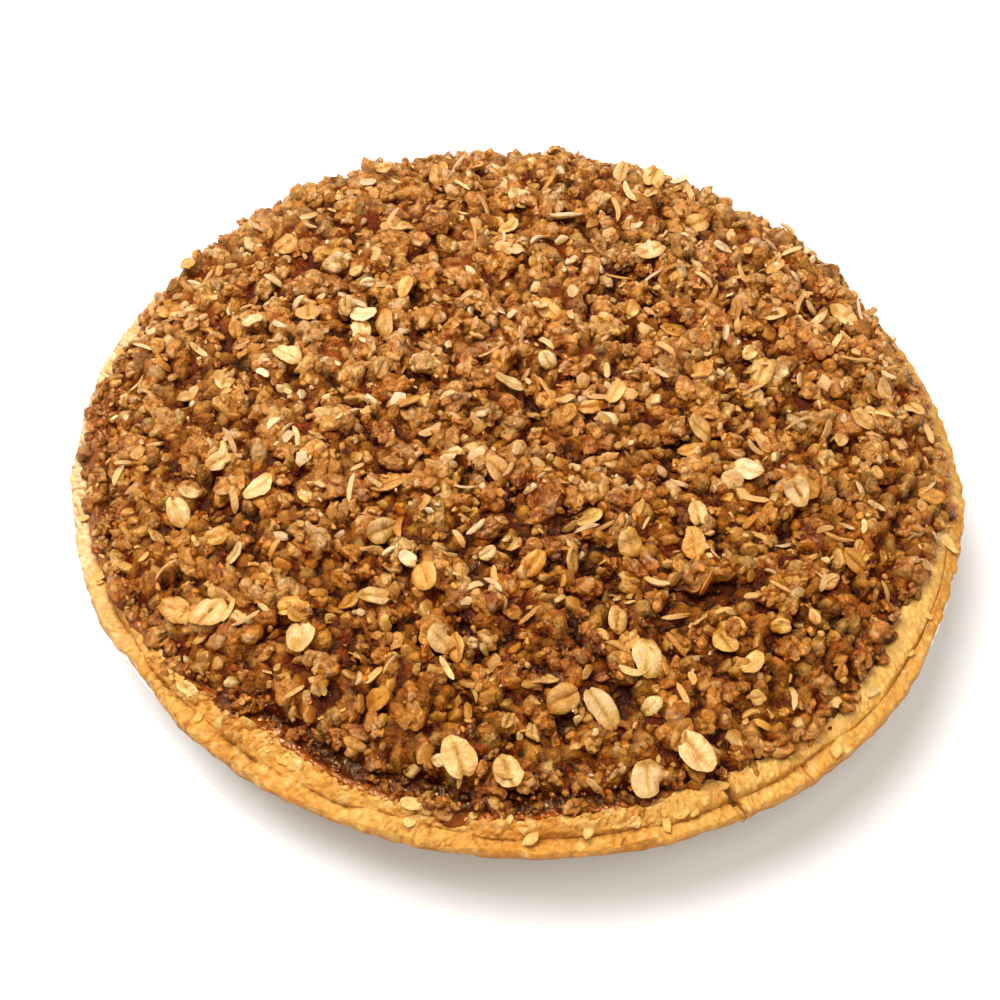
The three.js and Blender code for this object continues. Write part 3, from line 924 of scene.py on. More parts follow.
def flake_points(length, width_share, draw):
    theta = np.arange(FLAKE_SECTORS) / FLAKE_SECTORS * 2 * np.pi
    outline = 1 + 0.05 * np.cos(2 * theta + draw.uniform(*ANY_TURN))
    outline += 0.04 * np.cos(3 * theta + draw.uniform(*ANY_TURN))
    outline += draw.normal(0, 0.025, FLAKE_SECTORS)
    notch = draw.uniform(0, 2 * np.pi)
    for place, depth, width in ((np.pi, draw.uniform(0, 0.2), 0.22), (notch, draw.uniform(0, 0.35), 0.3)):
        outline -= depth * np.exp(-(np.angle(np.exp(1j * (theta - place))) / width) ** 2)
    half = length / 2
    x, y = half * outline * np.cos(theta), half * width_share * outline * np.sin(theta)
    points = slab_points(x, y, FLAKE_PROFILE, draw.uniform(0.6, 0.95))
    x, y = points[:, 0], points[:, 1]
    cup = draw.uniform(-0.5, 0.7) * (x / half) ** 2 + draw.uniform(-0.3, 0.45) * (y / half / width_share) ** 2
    crease = draw.uniform(0.2, 0.55) * np.exp(-(y / (0.06 * length)) ** 2) * ease(0.9, 0.4, x / half)
    wave = draw.uniform(0.05, 0.3) * np.sin(9 * x / length + draw.uniform(*ANY_TURN))
    ribs = 0.12 * np.sin(9 * np.arctan2(y, x + half) + draw.uniform(*ANY_TURN))
    points[:, 2] += cup - crease + wave + ribs + draw.normal(0, 0.04, len(points))
    return points


def flake_tint(points, length, pale, draw):
    """Pale, from 0 to 1, is how near an oat flake is to plain cream."""
    base = mix(oat_colour(draw), OAT_CREAM, pale) ** draw.uniform(1, 1.7 - 0.6 * pale)
    radius = np.hypot(points[:, 0], points[:, 1]) / (length / 2)
    crease = np.exp(-(points[:, 1] / (0.05 * length)) ** 2) * ease(1, 0.5, radius)
    patch = ease(0.1, 0.9, space_noise(points + draw.uniform(*ANY_PLACE), 3, 10))
    browned = draw.uniform(0.1, 0.5) * ease(0.6, 1.0, radius) + draw.uniform(0.1, 0.8) * crease
    browned = np.minimum(browned + draw.uniform(0, 0.7) * patch, 1)
    return deepened(base, (1 - OAT_BROWNED * browned) * (1 + draw.normal(0, 0.06, len(points))))


def broken_points(length, sectors, profile, thickness, draw):
    """A broken piece of rolled oat: a slab with an uneven outline."""
    theta = (np.arange(sectors) + draw.uniform(-0.35, 0.35, sectors)) / sectors * 2 * np.pi
    reach = length / 2 * draw.uniform(0.72, 1.12, sectors)
    x, y = reach * np.cos(theta), reach * np.sin(theta) * draw.uniform(0.45, 0.85)
    points = slab_points(x, y, profile, thickness)
    points[:, 2] += draw.uniform(-0.2, 0.2) * points[:, 0] + draw.normal(0, 0.07, len(points))
    return points


def chunk_points(length, draw):
    return broken_points(length, CHUNK_SECTORS, CHUNK_PROFILE, draw.uniform(0.9, 1.7), draw)


def lay_flat(batch, surface, points, faces, tint, place, reach, turn, tilt, resting):
    """Lays a flat piece on the surface's slope, tilted a little more, to rest on a share of it."""
    x, y = place
    east, west = surface.at(x + reach, y), surface.at(x - reach, y)
    north, south = surface.at(x, y + reach), surface.at(x, y - reach)
    normal = Vector((west - east, south - north, 2 * reach)).normalized()
    normal = (normal + Vector((*tilt, 0))).normalized()
    spin = Vector((0, 0, 1)).rotation_difference(normal).to_matrix() @ Matrix.Rotation(turn, 3, "Z")
    points = points @ np.array(spin).T
    below = surface.at(points[:, 0] + x, points[:, 1] + y) - points[:, 2]
    z = np.percentile(below, resting)
    batch.add(points + (x, y, z), faces, tint)
    slope_x, slope_y = normal.x / normal.z, normal.y / normal.z

    def top(dx, dy):
        return np.where(dx * dx + dy * dy < reach * reach, z - dx * slope_x - dy * slope_y, -1)

    surface.cover(x, y, reach, top)


# The crumble's pieces

CORE_DEPTH = 4.8
CORE_VALLEYS = (10, 1.9, 82)
CORE_CRUMBS = 6500
CORE_CRUMB_SIZES = (1.0, 2.5)
CORE_RINGS = 115
CORE_COLUMNS = 470

# How pieces are spread: how many places are looked for, how far apart, and out to which share
# of the heap's radius. Round the rim, the last number is how far inside the heap's edge they start.
LUMP_SPREAD = (240, 7.5, 0.98)
LUMP_DISTANCE = 8.5
LUMP_LIMIT = 205
FIRST_LUMPS = 150
NUGGETS = 620
NUGGET_RIM = (230, 4.0, 3)
NUGGET_SPREAD = (700, 4.3, 0.98)
GRAINS = 1030
GRAIN_RIM = (330, 1.2, 2)
GRAIN_SPREAD = (1800, 0.8, 1)
FRAGMENT_SPREAD = (900, 0.6, 1.02)
SLIVER_SPREAD = (230, 2.5, 1.0)


def core_height(x, y):
    share = dome_share(x, y)
    depth = (CORE_DEPTH + relief(CORE_VALLEYS, x, y)) * (1 - share ** 6)
    return np.where(share < 1, heap_height(x, y) - depth, ground_height(x, y))


def core_relief(surface, draw):
    """Small round crumbs pressed into the core, as relief: returns their colours."""
    colours = [RED_CRUMB]
    for i in range(1, CORE_CRUMBS):
        angle = draw.uniform(-math.pi, math.pi)
        radius = math.sqrt(draw.uniform(0, 1)) * around_edge(CRUMBLE, angle)
        x, y = radius * math.cos(angle), radius * math.sin(angle)
        half = draw.uniform(*CORE_CRUMB_SIZES)
        z = surface.at(x, y) - half * draw.uniform(0, 0.45)
        top = egg_top(z, half, half * draw.uniform(0.6, 1), half * 0.9, draw.uniform(0, 3))
        surface.cover(x, y, half, top, i)
        colours.append(crumb_colour(draw) * draw.uniform(0.6, 1))
    return np.array(colours)


def crumble_core(surface, colours):
    """The heap's own body: a disc of rings over the surface, closed by a flat bottom."""
    shares = np.sqrt(np.linspace(0.0004, 1, CORE_RINGS))
    shares = mix(shares, np.linspace(0.02, 1, CORE_RINGS), 0.5)
    angle = np.arange(CORE_COLUMNS) / CORE_COLUMNS * 2 * np.pi
    radius = shares[:, None] * around_edge(CRUMBLE, angle)
    x, y = radius * np.cos(angle), radius * np.sin(angle)
    height = surface.at(x, y)
    height[-1] = CRUMBLE_BOTTOM
    points = np.stack([x, y, height], axis=-1).reshape(-1, 3)
    # Painted shade: the core darkens towards the crevice shade where it dips below its softened surface
    hollow = height - surface.softened(14).at(x, y)
    share = ease(-1.3, 0.6, hollow).ravel()
    tint = mix(CREVICE_SHADE, colours[surface.owner_at(x, y)].reshape(-1, 3), share[:, None])
    points = np.concatenate([points, [[0, 0, float(height[0].mean())], [0, 0, CRUMBLE_BOTTOM]]])
    tint = np.concatenate([tint, [tint[0], CREVICE_SHADE]])
    batch = Batch()
    batch.add(points, slab_faces(CORE_RINGS, CORE_COLUMNS), tint)
    return batch


def crumble_lumps(surface, lumps, draw):
    """The large lumps, in two batches so that neither grows too heavy."""
    first, second = Batch(), Batch()
    shape = ball(LUMP["divisions"])
    for i, (x, y, length, width_share, turn) in enumerate(lumps):
        shade = None if i < LUMP_COUNT else mix(RED_CRUMB, DARK_CRUMB, 0.4)
        lay_crumb(first, surface, shape, (x, y), length, width_share, turn, LUMP, draw, shade)
    taken = np.array([lump[:2] for lump in lumps])
    places = scattered_places(*LUMP_SPREAD, draw)
    places = [place for place in places if np.hypot(*(taken - place).T).min() > LUMP_DISTANCE]
    for place in places[:LUMP_LIMIT - len(lumps)]:
        batch = first if len(first.points) < FIRST_LUMPS else second
        lay_any_crumb(batch, surface, shape, place, LUMP, draw)
    return first, second


def small_crumbs(surface, kind, count, rim, spread, draw):
    """Crumbs of one kind, some round the rim and the rest where the heap is low."""
    batch = Batch()
    shape = ball(kind["divisions"])
    outside = rim_places(*rim, draw)
    inside = settled(scattered_places(*spread, draw), surface, count - len(outside), draw)
    for place in np.concatenate([outside, inside]):
        lay_any_crumb(batch, surface, shape, place, kind, draw)
    return batch


def lay_flakes(batch, surface, flakes, pale, draw):
    faces = slab_faces(len(FLAKE_PROFILE), FLAKE_SECTORS)
    for x, y, length, turn, tilt_x, tilt_y in flakes:
        points = flake_points(length, draw.uniform(0.6, 0.85), draw)
        tint = flake_tint(points, length, pale, draw)
        lay_flat(batch, surface, points, faces, tint, (x, y), length * 0.35, turn, (tilt_x, tilt_y), 94)


def scattered_flakes(count, draw):
    flakes = []
    for x, y in scattered_places(count, 6.0, 0.99, draw):
        tilt = draw.normal(0, 0.4, 2)
        flakes.append((x, y, draw.uniform(4.5, 8), draw.uniform(*ANY_TURN), *tilt))
    return flakes


def lay_chunks(batch, surface, count, draw):
    faces = slab_faces(len(CHUNK_PROFILE), CHUNK_SECTORS)
    for place in settled(scattered_places(count * 8 // 5, 2.8, 1.01, draw), surface, count, draw):
        length = draw.uniform(2.8, 6.2)
        points = chunk_points(length, draw)
        tint = oat_colour(draw) ** draw.uniform(1, 2) * draw.uniform(0.7, 1)
        tilt = draw.normal(0, 0.5, 2)
        lay_flat(batch, surface, points, faces, tint, place, length * 0.3, draw.uniform(*ANY_TURN), tilt, 55)


def lay_fragments(batch, surface, draw):
    """Small sharp bits of oat and crumb, everywhere on the heap."""
    faces = slab_faces(len(FRAGMENT_PROFILE), FRAGMENT_SECTORS)
    for place in scattered_places(*FRAGMENT_SPREAD, draw):
        length = draw.uniform(1.4, 3.4)
        points = broken_points(length, FRAGMENT_SECTORS, FRAGMENT_PROFILE, draw.uniform(0.4, 1), draw)
        pale = draw.uniform() < 0.5
        tint = oat_colour(draw) ** draw.uniform(1, 1.6) if pale else crumb_colour(draw)
        tilt = draw.normal(0, 0.6, 2)
        lay_flat(batch, surface, points, faces, tint, place, 0.6, draw.uniform(*ANY_TURN), tilt, 60)


SLIVER_STEPS = 7
SLIVER_HALF_THICKNESS = 0.3


def sliver_points(length, width, draw):
    """A husk or a flake seen on edge: a thin bent strip with tapered ends."""
    s = np.linspace(-1, 1, SLIVER_STEPS)
    taper = np.sqrt(np.clip(1 - 0.92 * s ** 4, 0.05, 1))
    bow = draw.uniform(-0.12, 0.12) * length * s * s
    rise = draw.uniform(-0.1, 0.1) * length * s * s
    corners = []
    for across, up in ((-1, -1), (1, -1), (1, 1), (-1, 1)):
        side = bow + across * width / 2 * taper
        corners.append(np.stack([s * length / 2, side, rise + up * SLIVER_HALF_THICKNESS * taper], axis=1))
    return np.stack(corners, axis=1).reshape(-1, 3)


def sliver_faces():
    sides = grid_faces(SLIVER_STEPS, 4, True)
    last = 4 * (SLIVER_STEPS - 1)
    ends = np.array([[2, 1, 0], [3, 2, 0], [last, last + 1, last + 2], [last, last + 2, last + 3]])
    return np.concatenate([sides, ends])


def oat_slivers(surface, draw):
    batch = Batch()
    faces = sliver_faces()
    for place in scattered_places(*SLIVER_SPREAD, draw):
        length, width = draw.uniform(3.5, 8.5), draw.uniform(0.8, 2.0)
        points = sliver_points(length, width, draw)
        tint = oat_colour(draw) ** draw.uniform(1, 1.8)
        tilt = draw.normal(0, 0.35, 2)
        lay_flat(batch, surface, points, faces, tint, place, 1.0, draw.uniform(*ANY_TURN), tilt, 80)
    return batch


def crumble_topping():
    draw = np.random.default_rng(5)
    lumps, flakes = solid_pieces()
    surface = Surface(core_height)
    core = crumble_core(surface, core_relief(surface, draw))
    large, larger = crumble_lumps(surface, lumps, draw)
    oats, chunks = Batch(), Batch()
    lay_flakes(oats, surface, flakes[:FLAKE_COUNT] + scattered_flakes(30, draw), 0, draw)
    lay_chunks(chunks, surface, 200, draw)
    small = small_crumbs(surface, NUGGET, NUGGETS, NUGGET_RIM, NUGGET_SPREAD, draw)
    lay_flakes(oats, surface, scattered_flakes(60, draw), 0.1, draw)
    lay_chunks(chunks, surface, 400, draw)
    grains = small_crumbs(surface, GRAIN, GRAINS, GRAIN_RIM, GRAIN_SPREAD, draw)
    lay_fragments(chunks, surface, draw)
    slivers = oat_slivers(surface, draw)
    lay_flakes(oats, surface, flakes[FLAKE_COUNT:], 0.55, draw)
    soft = surface.softened(150)
    for batch in (core, large, larger, small, grains, oats, chunks, slivers):
        batch.darken_hollows(soft)
    core.piece("crumble_core", CORE, "crumble", "crumble_topping")
    large.piece("crumble_lumps", CRUMB, "crumble")
    larger.piece("crumble_clusters", CRUMB, "crumble")
    small.piece("crumble_crumbs", CRUMB, "crumble")
    grains.piece("crumble_grains", CRUMB, "crumble")
    oats.piece("oat_flakes", FLAKE, "crumble")
    chunks.piece("oat_chunks", FLAKE, "crumble")
    slivers.piece("oat_slivers", FLAKE, "crumble")


# Turned pieces: a closed section that changes with the angle

def smooth_section(knots, steps):
    """Points on a curve through the knots: arrays of (columns, knots, 2) in, more knots out."""
    before = np.concatenate([knots[:, :1], knots[:, :-1]], axis=1)
    after = np.concatenate([knots[:, 1:], knots[:, -1:]], axis=1)
    parts = []
    for k in range(knots.shape[1] - 1):
        p0, p1, p2, p3 = before[:, k], knots[:, k], knots[:, k + 1], after[:, k + 1]
        for i in range(steps):
            t = i / steps
            parts.append(0.5 * (2 * p1 + (p2 - p0) * t + (2 * p0 - 5 * p1 + 4 * p2 - p3) * t ** 2
                                + (3 * p1 - p0 - 3 * p2 + p3) * t ** 3))
    parts.append(knots[:, -1])
    return np.stack(parts, axis=1)


def turned_points(angle, section):
    radius, height = section[..., 0], section[..., 1]
    x, y = radius * np.cos(angle)[:, None], radius * np.sin(angle)[:, None]
    return np.stack([x, y, height], axis=-1)


def turned_faces(columns, rings):
    """Triangles of a turned solid whose section starts and ends on the axis, facing outwards."""
    faces = grid_faces(columns + 1, rings, False)[:, ::-1] % (columns * rings)
    place = faces % rings
    flat = ((place == 0).sum(axis=1) > 1) | ((place == rings - 1).sum(axis=1) > 1)
    return faces[~flat]


def column_angles(count, fine_places):
    plain = np.linspace(-180, 180, count, endpoint=False)
    fine = [np.linspace(place - 3.5, place + 3.5, 60) for place in fine_places]
    return np.radians(np.unique(np.concatenate([plain, *fine])))


def knots_at(angle, rows):
    """Rows of (radius, height), each a number or an array over the angles, as one array."""
    made = np.zeros((len(angle), len(rows), 2))
    for k, (radius, height) in enumerate(rows):
        made[:, k, 0] = radius
        made[:, k, 1] = height
    return made


RIM_RADIUS = 115
PASTRY_COLUMNS = 1080
CRACK_ANGLE = -61.5
FOLD_ANGLE = -51

# Where the foil shows beyond the crust: the direction in degrees and the width
BARE_FOIL = [(-141, 6), (-19, 9)]


def crust_edges(angle):
    """The radii of the inner edge, the band, the groove and the lip, then the groove's height and shade."""
    inner, band, groove, lip = band_radii(angle)
    around_x, around_y = RIM_RADIUS * np.cos(angle), RIM_RADIUS * np.sin(angle)
    turn = np.degrees(angle)
    bare = sum(np.exp(-((turn - place) / width) ** 2) for place, width in BARE_FOIL)
    lip = np.maximum(lip, mix(121, 119.6, np.clip(1.3 * bare, 0, 1)))
    lip += 0.35 * flat_noise(around_x / 3, around_y / 3, 38)
    groove = groove + 0.7 * flat_noise(around_x / 13, around_y / 13, 34)
    groove = np.clip(groove, band + 0.4, lip - LIP_ROUNDING - 0.3)
    open_share = ease(-0.6, 0.2, flat_noise(around_x / 9, around_y / 9, 39))
    filled = ease(-45, 0, turn) * ease(60, 20, turn)
    height = mix(GROOVE_HEIGHT + 0.7, GROOVE_HEIGHT - 0.4, open_share * (1 - 0.7 * filled))
    return inner, band, groove, lip, height, open_share * (1 - 0.8 * filled)


def crust_section(angle, inner, band, groove, lip, groove_height):
    """From the axis along the floor, up under the bead, over the lip and the band, and back inside."""
    floor = TIN_SHEET + GAP
    over = np.clip((lip - BEAD_CENTRE_RADIUS - 0.3) / 1.8, 0, 1)
    knots = knots_at(angle, [
        (0, floor),
        (wall_radius(floor, TIN_SHEET + GAP), floor),
        (wall_radius(FLANGE_HEIGHT + GAP, TIN_SHEET + GAP), FLANGE_HEIGHT + GAP),
        (BEAD_CENTRE_RADIUS - 1.7, FLANGE_HEIGHT + GAP),
        (BEAD_CENTRE_RADIUS - 1.3, BEAD_CENTRE_HEIGHT + 1.4),
        (mix(lip - 0.7, lip - 1.4, over), BEAD_CENTRE_HEIGHT + 1.45),
        (mix(lip - 0.3, lip - 0.35, over), mix(BEAD_CENTRE_HEIGHT + 1.6, BEAD_CENTRE_HEIGHT + 0.4, over)),
        (lip, mix(30.2, 29.3, over)),
        (lip - 0.25, 31.1),
        (lip - LIP_ROUNDING, LIP_HEIGHT + 0.3),
        (groove + 0.25, groove_height + 0.3),
        (groove, groove_height),
        (groove - 0.3, groove_height + 0.6),
        (band, BAND_OUTER_HEIGHT),
        ((inner + band) / 2, BAND_HEIGHT),
        (inner, BAND_INNER_HEIGHT),
        (inner - WALL_TOP_INSET, WALL_TOP_HEIGHT),
        (PASTRY_FLOOR_RADIUS, floor + PASTRY_FLOOR),
        (0, floor + PASTRY_FLOOR),
    ])
    return np.concatenate([knots[:, :2], smooth_section(knots[:, 2:17], 3), knots[:, 17:]], axis=1)


def crust_skin(angle, section, points, band):
    """The patterns that the crust's relief and its colours share."""
    radius, height = section[..., 0], section[..., 1]
    x, y = points[..., 0], points[..., 1]
    warp_x, warp_y = [
        0.9 * flat_noise(x / 2.5, y / 2.5, seed) + 1.5 * flat_noise(x / 7, y / 7, seed + 9)
        for seed in (35, 36)
    ]
    inside, own = plates((x + warp_x) / 3.0, (y + warp_y) / 3.0, 31)
    fine_inside, fine_own = plates((x + warp_x) / 1.5, (y + warp_y) / 1.5, 32)
    crackled = ease(45, -45, x + 0.5 * y)
    rough = 0.5 + 0.5 * ease(-0.5, 0.3, flat_noise(x / 16, y / 16, 33))
    degrees = np.degrees(angle)[:, None]
    from_crack = degrees - CRACK_ANGLE - 0.12 * (radius - RIM_RADIUS)
    return SimpleNamespace(
        x=x, y=y, radius=radius, height=height, degrees=degrees,
        inside=inside, own=own, fine_inside=fine_inside, fine_own=fine_own,
        crackled=crackled,
        rough=rough * mix(0.3, 1.1, crackled),
        upper=ease(29.6, 31.2, height) * ease(100, 106, radius),
        outer=ease(-0.5, 0.8, radius - band[:, None]),
        crack=np.exp(-(from_crack / 0.42) ** 4),
    )


def crust_lift(skin):
    """How far the plates, the layers of the lip, the crack and the fold raise or lower the crust."""
    x, y = skin.x, skin.y
    swell = relief(PASTRY_SWELLS, x, y) + relief(PASTRY_BLISTERS, x, y)
    layers = np.sin(2 * np.pi * (skin.radius + 1.2 * flat_noise(x / 8, y / 8, 37)) / 1.1)
    knobs = 1.0 * ease(0, 0.35, skin.inside) + 0.5 * skin.own
    knobs = knobs + 0.45 * ease(0, 0.35, skin.fine_inside) + 0.2 * skin.fine_own
    fine = skin.rough * mix(knobs - 0.7, 0.45 * knobs + 0.22 * layers - 0.3, skin.outer)
    fold = np.exp(-((skin.degrees - FOLD_ANGLE) / 0.35) ** 2)
    ridge = np.exp(-((skin.degrees - FOLD_ANGLE + 1.2) / 0.9) ** 2)
    return skin.upper * (swell + fine) - skin.upper * (3.4 * skin.crack + 1.1 * fold - 0.6 * ridge)


def crust_tint(skin, inner, groove, groove_shade):
    """Pale plates with darker seams, painted highlight on their middles, painted shade in the groove and the
    crack, painted light towards the left and on the band's right, and jam soaked into the inner edge.
    """
    x, y = skin.x, skin.y
    patch = ease(-0.3, 0.5, flat_noise(x / 11, y / 11, 41))
    # Painted light: paler towards the left, where the light falls; paler also where the crust is less
    # crackled
    pale = ease(40, 110, -x) * ease(-0.8, 0.3, flat_noise(x / 20, y / 20, 42)) + 0.5 * (1 - skin.crackled)
    # Paler on the plates' raised middles: painted highlight on the pastry's cream, paler too with the painted
    # light
    cream = ease(0.1, 0.7, skin.inside) * ease(-0.5, 0.6, skin.own) * 0.8 + 0.35 * pale - 0.25 * skin.outer
    seams = 0.7 * ease(0.14, 0.0, skin.inside) + 0.4 * ease(0.12, 0.0, skin.fine_inside)
    # Painted shade along the groove
    line = np.exp(-((skin.radius - groove[:, None]) / 0.35) ** 2) * skin.upper
    line *= groove_shade[:, None] * mix(0.4, 0.8, skin.crackled)
    # Yellower on the band's right: partly the pastry's own colour, partly painted light where the crumbs
    # shade it
    right = ease(30, 80, x) * ease(30, -10, y) * (1 - skin.outer)
    wet = ease(1.5, -0.5, skin.radius - inner[:, None]) * ease(33.9, 32.5, skin.height)
    tint = PASTRY_GOLD
    for over, share in (
        (PASTRY_ORANGE, 0.6 * patch * (1 - 0.6 * pale) - 0.3 * skin.own),
        (PASTRY_CREAM, cream),
        (PASTRY_PAINTED_LIGHT, 0.75 * pale * ease(-75, -112, x)),
        (PASTRY_YELLOW, 0.6 * right),
        (PASTRY_BROWN * 1.2, np.minimum(skin.rough * seams, 0.85)),
        (PASTRY_BROWN * 0.8, line),
        # Painted shade in the crack
        (PASTRY_BROWN * 0.5, 0.8 * skin.crack * skin.upper),
        (PASTRY_BROWN, 0.6 * (1 - ease(28.8, 30.4, skin.height))),
        (PASTRY_BROWN, 0.7 * wet),
    ):
        tint = mix(tint, over, np.clip(share, 0, 0.9)[..., None])
    return tint


def pastry_crust():
    angle = column_angles(PASTRY_COLUMNS, [CRACK_ANGLE, FOLD_ANGLE])
    inner, band, groove, lip, groove_height, groove_shade = crust_edges(angle)
    section = crust_section(angle, inner, band, groove, lip, groove_height)
    points = turned_points(angle, section)
    skin = crust_skin(angle, section, points, band)
    blisters = np.abs(space_noise(points.reshape(-1, 3), 2.6, 31)).reshape(section.shape[:2])
    points[..., 2] += crust_lift(skin)
    outward = 0.9 * ease(28.8, 30, skin.height) * ease(118, 119, skin.radius) * (blisters - 0.3)
    points[..., 0] += outward * np.cos(angle)[:, None]
    points[..., 1] += outward * np.sin(angle)[:, None]
    tint = crust_tint(skin, inner, groove, groove_shade)
    batch = Batch()
    batch.add(points.reshape(-1, 3), turned_faces(len(angle), section.shape[1]), tint.reshape(-1, 3))
    batch.piece("pastry_crust_baked", PASTRY, "pastry", "pastry_crust")


# Shards of pastry that lie loose on the rim: x, y, length, width as a share of it, and turn
LOOSE_SHARDS = [
    (113.5, -17.5, 13, 0.3, -0.9),
    (110.5, -11, 9, 0.35, -0.7),
    (91.4, -69.7, 5, 0.5, 0.6),
    (89, -72.5, 4, 0.5, 1.8),
    (-78, -84, 7, 0.45, -0.6),
    (-20, -112, 7, 0.5, 0.1),
]


CHIP_COUNT = 150


def pastry_chips():
    draw = np.random.default_rng(17)
    surface = Surface(ground_height)
    batch = Batch()
    faces = slab_faces(len(CHUNK_PROFILE), CHUNK_SECTORS)
    for _ in range(CHIP_COUNT):
        angle = draw.uniform(-math.pi, math.pi)
        inner, _, _, lip = band_radii(np.array([angle]))
        radius = mix(inner[0] + 0.3, lip[0] - 2, draw.uniform(0, 1) ** 1.5)
        points = chunk_points(draw.uniform(2, 5.5), draw) * (1, 1, 0.4)
        tint = mix(PASTRY_CREAM, PASTRY_GOLD, draw.uniform(0, 0.9))
        tilt = draw.normal(0, 0.12, 2)
        turn = draw.uniform(*ANY_TURN)
        lay_flat(batch, surface, points, faces, tint, radius * heading(angle), 0.8, turn, tilt, 45)
    faces = slab_faces(len(FLAKE_PROFILE), FLAKE_SECTORS)
    for x, y, length, width_share, turn in LOOSE_SHARDS:
        points = flake_points(length, width_share, draw)
        tint = mix(PASTRY_CREAM, PASTRY_GOLD, draw.uniform(0, 0.5))
        lay_flat(batch, surface, points, faces, tint, (x, y), length * 0.3, turn, (0, 0), 80)
    batch.piece("pastry_chips", PASTRY, "pastry")


TURNED_COLUMNS = 720


def apple_filling():
    angle = np.linspace(-np.pi, np.pi, TURNED_COLUMNS, endpoint=False)
    edge = jam_edge(angle)
    edge += relief(FILLING_WAVES, edge * np.cos(angle), edge * np.sin(angle))
    around_x, around_y = 113 * np.cos(angle), 113 * np.sin(angle)
    edge += relief((5, 1.1, 51), around_x, around_y) + relief((2, 0.6, 52), around_x, around_y)

    def drape(inset, limit, share):
        radius = np.minimum(edge - inset, limit)
        return radius, pastry_top(angle, radius) + share * FILLING_THICKNESS

    rows = [
        (0, FILLING_BOTTOM + 2),
        (80, FILLING_BOTTOM + 3),
        (98, 24),
        (np.minimum(edge, BAND_INNER_LIMIT) - 2.5, 30.5),
        (edge - 1.2, pastry_top(angle, edge - 1.2) - 0.6),
        (edge, pastry_top(angle, edge) - 0.1),
        drape(0.25, TIN_RADIUS, 0.35),
        drape(1.0, TIN_RADIUS, 0.6),
        drape(2.0, TIN_RADIUS, 0.85),
        drape(3.5, BAND_RADIUS - 1.5, 1),
        drape(5, BAND_INNER_LIMIT - 2.5, 1),
        (np.minimum(edge - 7, 105), FILLING_HEIGHT + 0.5),
        (100, FILLING_HEIGHT + 0.2),
        (0, FILLING_HEIGHT),
    ]
    knots = knots_at(angle, rows)
    section = np.concatenate([knots[:, :3], smooth_section(knots[:, 3:13], 3), knots[:, 13:]], axis=1)
    points = turned_points(angle, section)
    flat = points.reshape(-1, 3)
    top = ease(31, 33, flat[:, 2]) * ease(95, 99, np.hypot(flat[:, 0], flat[:, 1]))
    thin = ease(2.6, 0.2, edge[:, None] - section[..., 0]).ravel()
    lumps = 1.1 * np.abs(space_noise(flat, 4.2, 61)) + 0.6 * np.abs(space_noise(flat, 1.9, 62))
    flat[:, 2] += top * lumps * (1 - 0.7 * thin)
    share = np.clip(thin * 0.8 + 0.25 * space_noise(flat, 4, 63), 0, 1)
    tint = mix(JAM_DARK, JAM_AMBER, share[:, None])
    tint = mix(tint, GLAZE, (0.6 * ease(-60, -100, flat[:, 0]))[:, None])
    batch = Batch()
    batch.add(flat, turned_faces(len(angle), section.shape[1]), tint)
    batch.piece("apple_filling_glossy", JAM, "filling", "apple_filling")


FLUTES = 80
BEAD_CRIMPS = 180
BEAD_STEPS = (-120, -85, -50, -20, 10, 40, 70, 100)


def foil_tin():
    angle = np.linspace(-np.pi, np.pi, TURNED_COLUMNS, endpoint=False)
    around_x, around_y = 105 * np.cos(angle), 105 * np.sin(angle)
    drift = 0.9 * flat_noise(around_x / 30, around_y / 30, 71)
    flute = 2 * np.abs(np.sin(FLUTES / 2 * angle + drift)) - 1
    flute += 0.3 * flat_noise(around_x / 6, around_y / 6, 73)
    crimp = 0.12 * np.cos(BEAD_CRIMPS * angle)
    under = FLANGE_HEIGHT - TIN_SHEET
    dent = 0.35 * flat_noise(angle * 9, angle * 0, 72)

    def wall(height, inset, share):
        return wall_radius(height, inset) + share * (0.9 + 0.75 * flute), height

    def bead(degrees):
        turn = math.radians(degrees)
        reach = BEAD_RADIUS + crimp
        return BEAD_CENTRE_RADIUS + reach * math.cos(turn), BEAD_CENTRE_HEIGHT + reach * math.sin(turn)

    rows = [
        (0, 0),
        (60, 0),
        (wall_radius(0, 0) - 2, 0.0),
        wall(1.2, 0, 0.1),
        wall(4, 0, 0.8),
        wall(9, 0, 1),
        wall(14, 0, 1),
        wall(19, 0, 1),
        wall(23, 0, 0.9),
        (wall_radius(under, 0) - 0.4, under - 0.9),
        (wall_radius(under, 0) + 0.8, under + 0.02 * dent),
        *[bead(degrees) for degrees in BEAD_STEPS],
        (BEAD_CENTRE_RADIUS - BEAD_RADIUS - 0.2, FLANGE_HEIGHT),
        (wall_radius(FLANGE_HEIGHT, TIN_SHEET), FLANGE_HEIGHT),
        wall(23, TIN_SHEET, 0.9),
        wall(14, TIN_SHEET, 1),
        wall(4, TIN_SHEET, 0.8),
        (wall_radius(TIN_SHEET, TIN_SHEET), TIN_SHEET),
        (0, TIN_SHEET),
    ]
    section = knots_at(angle, rows)
    points = turned_points(angle, section).reshape(-1, 3)
    height = section[..., 1]
    # Painted shade in the valleys of the pleats on the wall
    crease = ease(0.1, -0.9, flute)[:, None] * ease(0.5, 3, height) * ease(27.5, 23, height)
    tint = np.repeat(mix(1, 0.35, crease).reshape(-1, 1), 3, axis=1)
    batch = Batch()
    batch.add(points, turned_faces(len(angle), section.shape[1]), tint)
    batch.piece("foil_tin_pleated", FOIL, "foil", "foil_tin")


# The view, the light and the floor

CAMERA_TARGET = Vector((-5.03, -13.83, 31)) * MM
CAMERA_DISTANCE = 520 * MM
CAMERA_ELEVATION = math.radians(50.508)
CAMERA_ROLL = math.radians(4.188)
CAMERA_LENS = 69.465


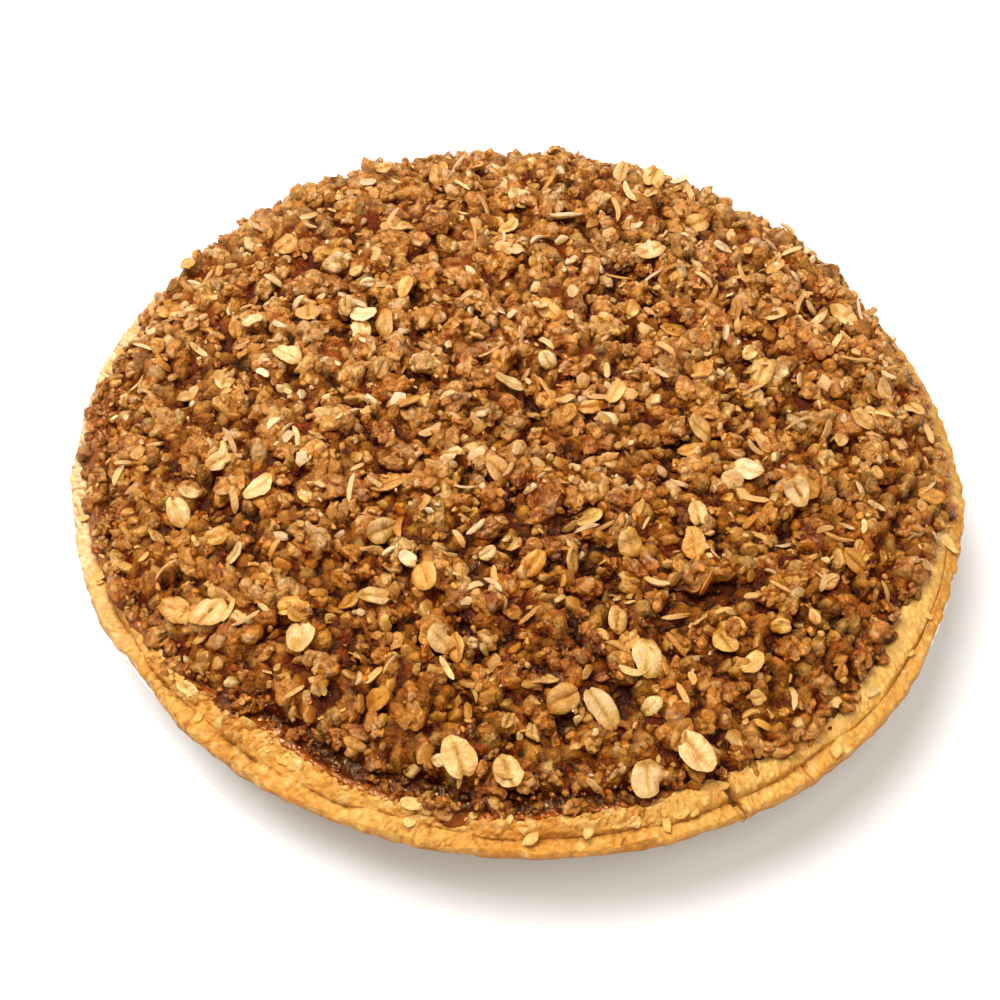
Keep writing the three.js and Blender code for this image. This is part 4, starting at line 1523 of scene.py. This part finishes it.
# Lights: name, place, size, watts and colour, all aimed at the tart
LIGHTS = [
    ("key", (-0.38, -0.02, 1.12), 0.8, 17.6, (0.98, 0.98, 1)),
    ("fill", (0.15, -0.5, 1.1), 0.5, 4.0, (1, 1, 1)),
    ("glint", (-0.3, 0.35, 1.1), 0.12, 34, (1, 0.8, 0.55)),
]
LIGHT_TARGET = Vector((0, 0, 0.03))
SKY_COLOUR = (1, 0.83, 0.65, 1)
SKY_STRENGTH = 0.42
FLOOR_HALF = 3


def camera():
    data = bpy.data.cameras.new("camera")
    data.lens = CAMERA_LENS
    data.sensor_width = 36
    data.clip_start = 0.01
    back = Vector((0, -math.cos(CAMERA_ELEVATION), math.sin(CAMERA_ELEVATION)))
    right = Vector((1, 0, 0))
    up = back.cross(right)
    across = math.cos(CAMERA_ROLL) * right + math.sin(CAMERA_ROLL) * up
    above = back.cross(across)
    placed = Matrix((across, above, back)).transposed().to_4x4()
    placed.translation = CAMERA_TARGET + back * CAMERA_DISTANCE
    shown = shown_object("camera", data)
    shown.matrix_world = placed
    bpy.context.scene.camera = shown


def area_light(name, place, size, watts, tint):
    data = bpy.data.lights.new(name, "AREA")
    data.color = tint
    data.shape = "DISK"
    data.size = size
    data.energy = watts
    shown = shown_object(name, data)
    shown.location = place
    shown.rotation_mode = "QUATERNION"
    shown.rotation_quaternion = (LIGHT_TARGET - Vector(place)).to_track_quat("-Z", "Y")
    return shown


def floor():
    mesh = bpy.data.meshes.new("floor")
    corners = [(x * FLOOR_HALF, y * FLOOR_HALF, 0) for x, y in ((-1, -1), (1, -1), (1, 1), (-1, 1))]
    mesh.from_pydata(corners, [], [(0, 1, 2, 3)])
    material, tree, shader = fresh_material("pale_floor")
    shade = span(tree, noise(tree, 40, detail=1), 0.3, 0.7, 0.89, 0.9)
    tree.links.new(blend(tree, "MIX", shade, (0, 0, 0), (1, 1, 1)), shader.inputs["Base Color"])
    shader.inputs["Roughness"].default_value = 0.9
    shader.inputs["Specular IOR Level"].default_value = 0.1
    mesh.materials.append(material)
    shown = shown_object("floor", mesh)


def studio():
    world = bpy.data.worlds.new("studio")
    bpy.context.scene.world = world
    world.use_nodes = True
    background = world.node_tree.nodes["Background"]
    background.inputs["Color"].default_value = SKY_COLOUR
    background.inputs["Strength"].default_value = SKY_STRENGTH
    lights = {name: area_light(name, *settings) for name, *settings in LIGHTS}
    lights["glint"].visible_diffuse = False
    bpy.context.scene.view_settings.view_transform = "Standard"


camera()
studio()
floor()
foil_tin()
pastry_crust()
pastry_chips()
apple_filling()
crumble_topping()
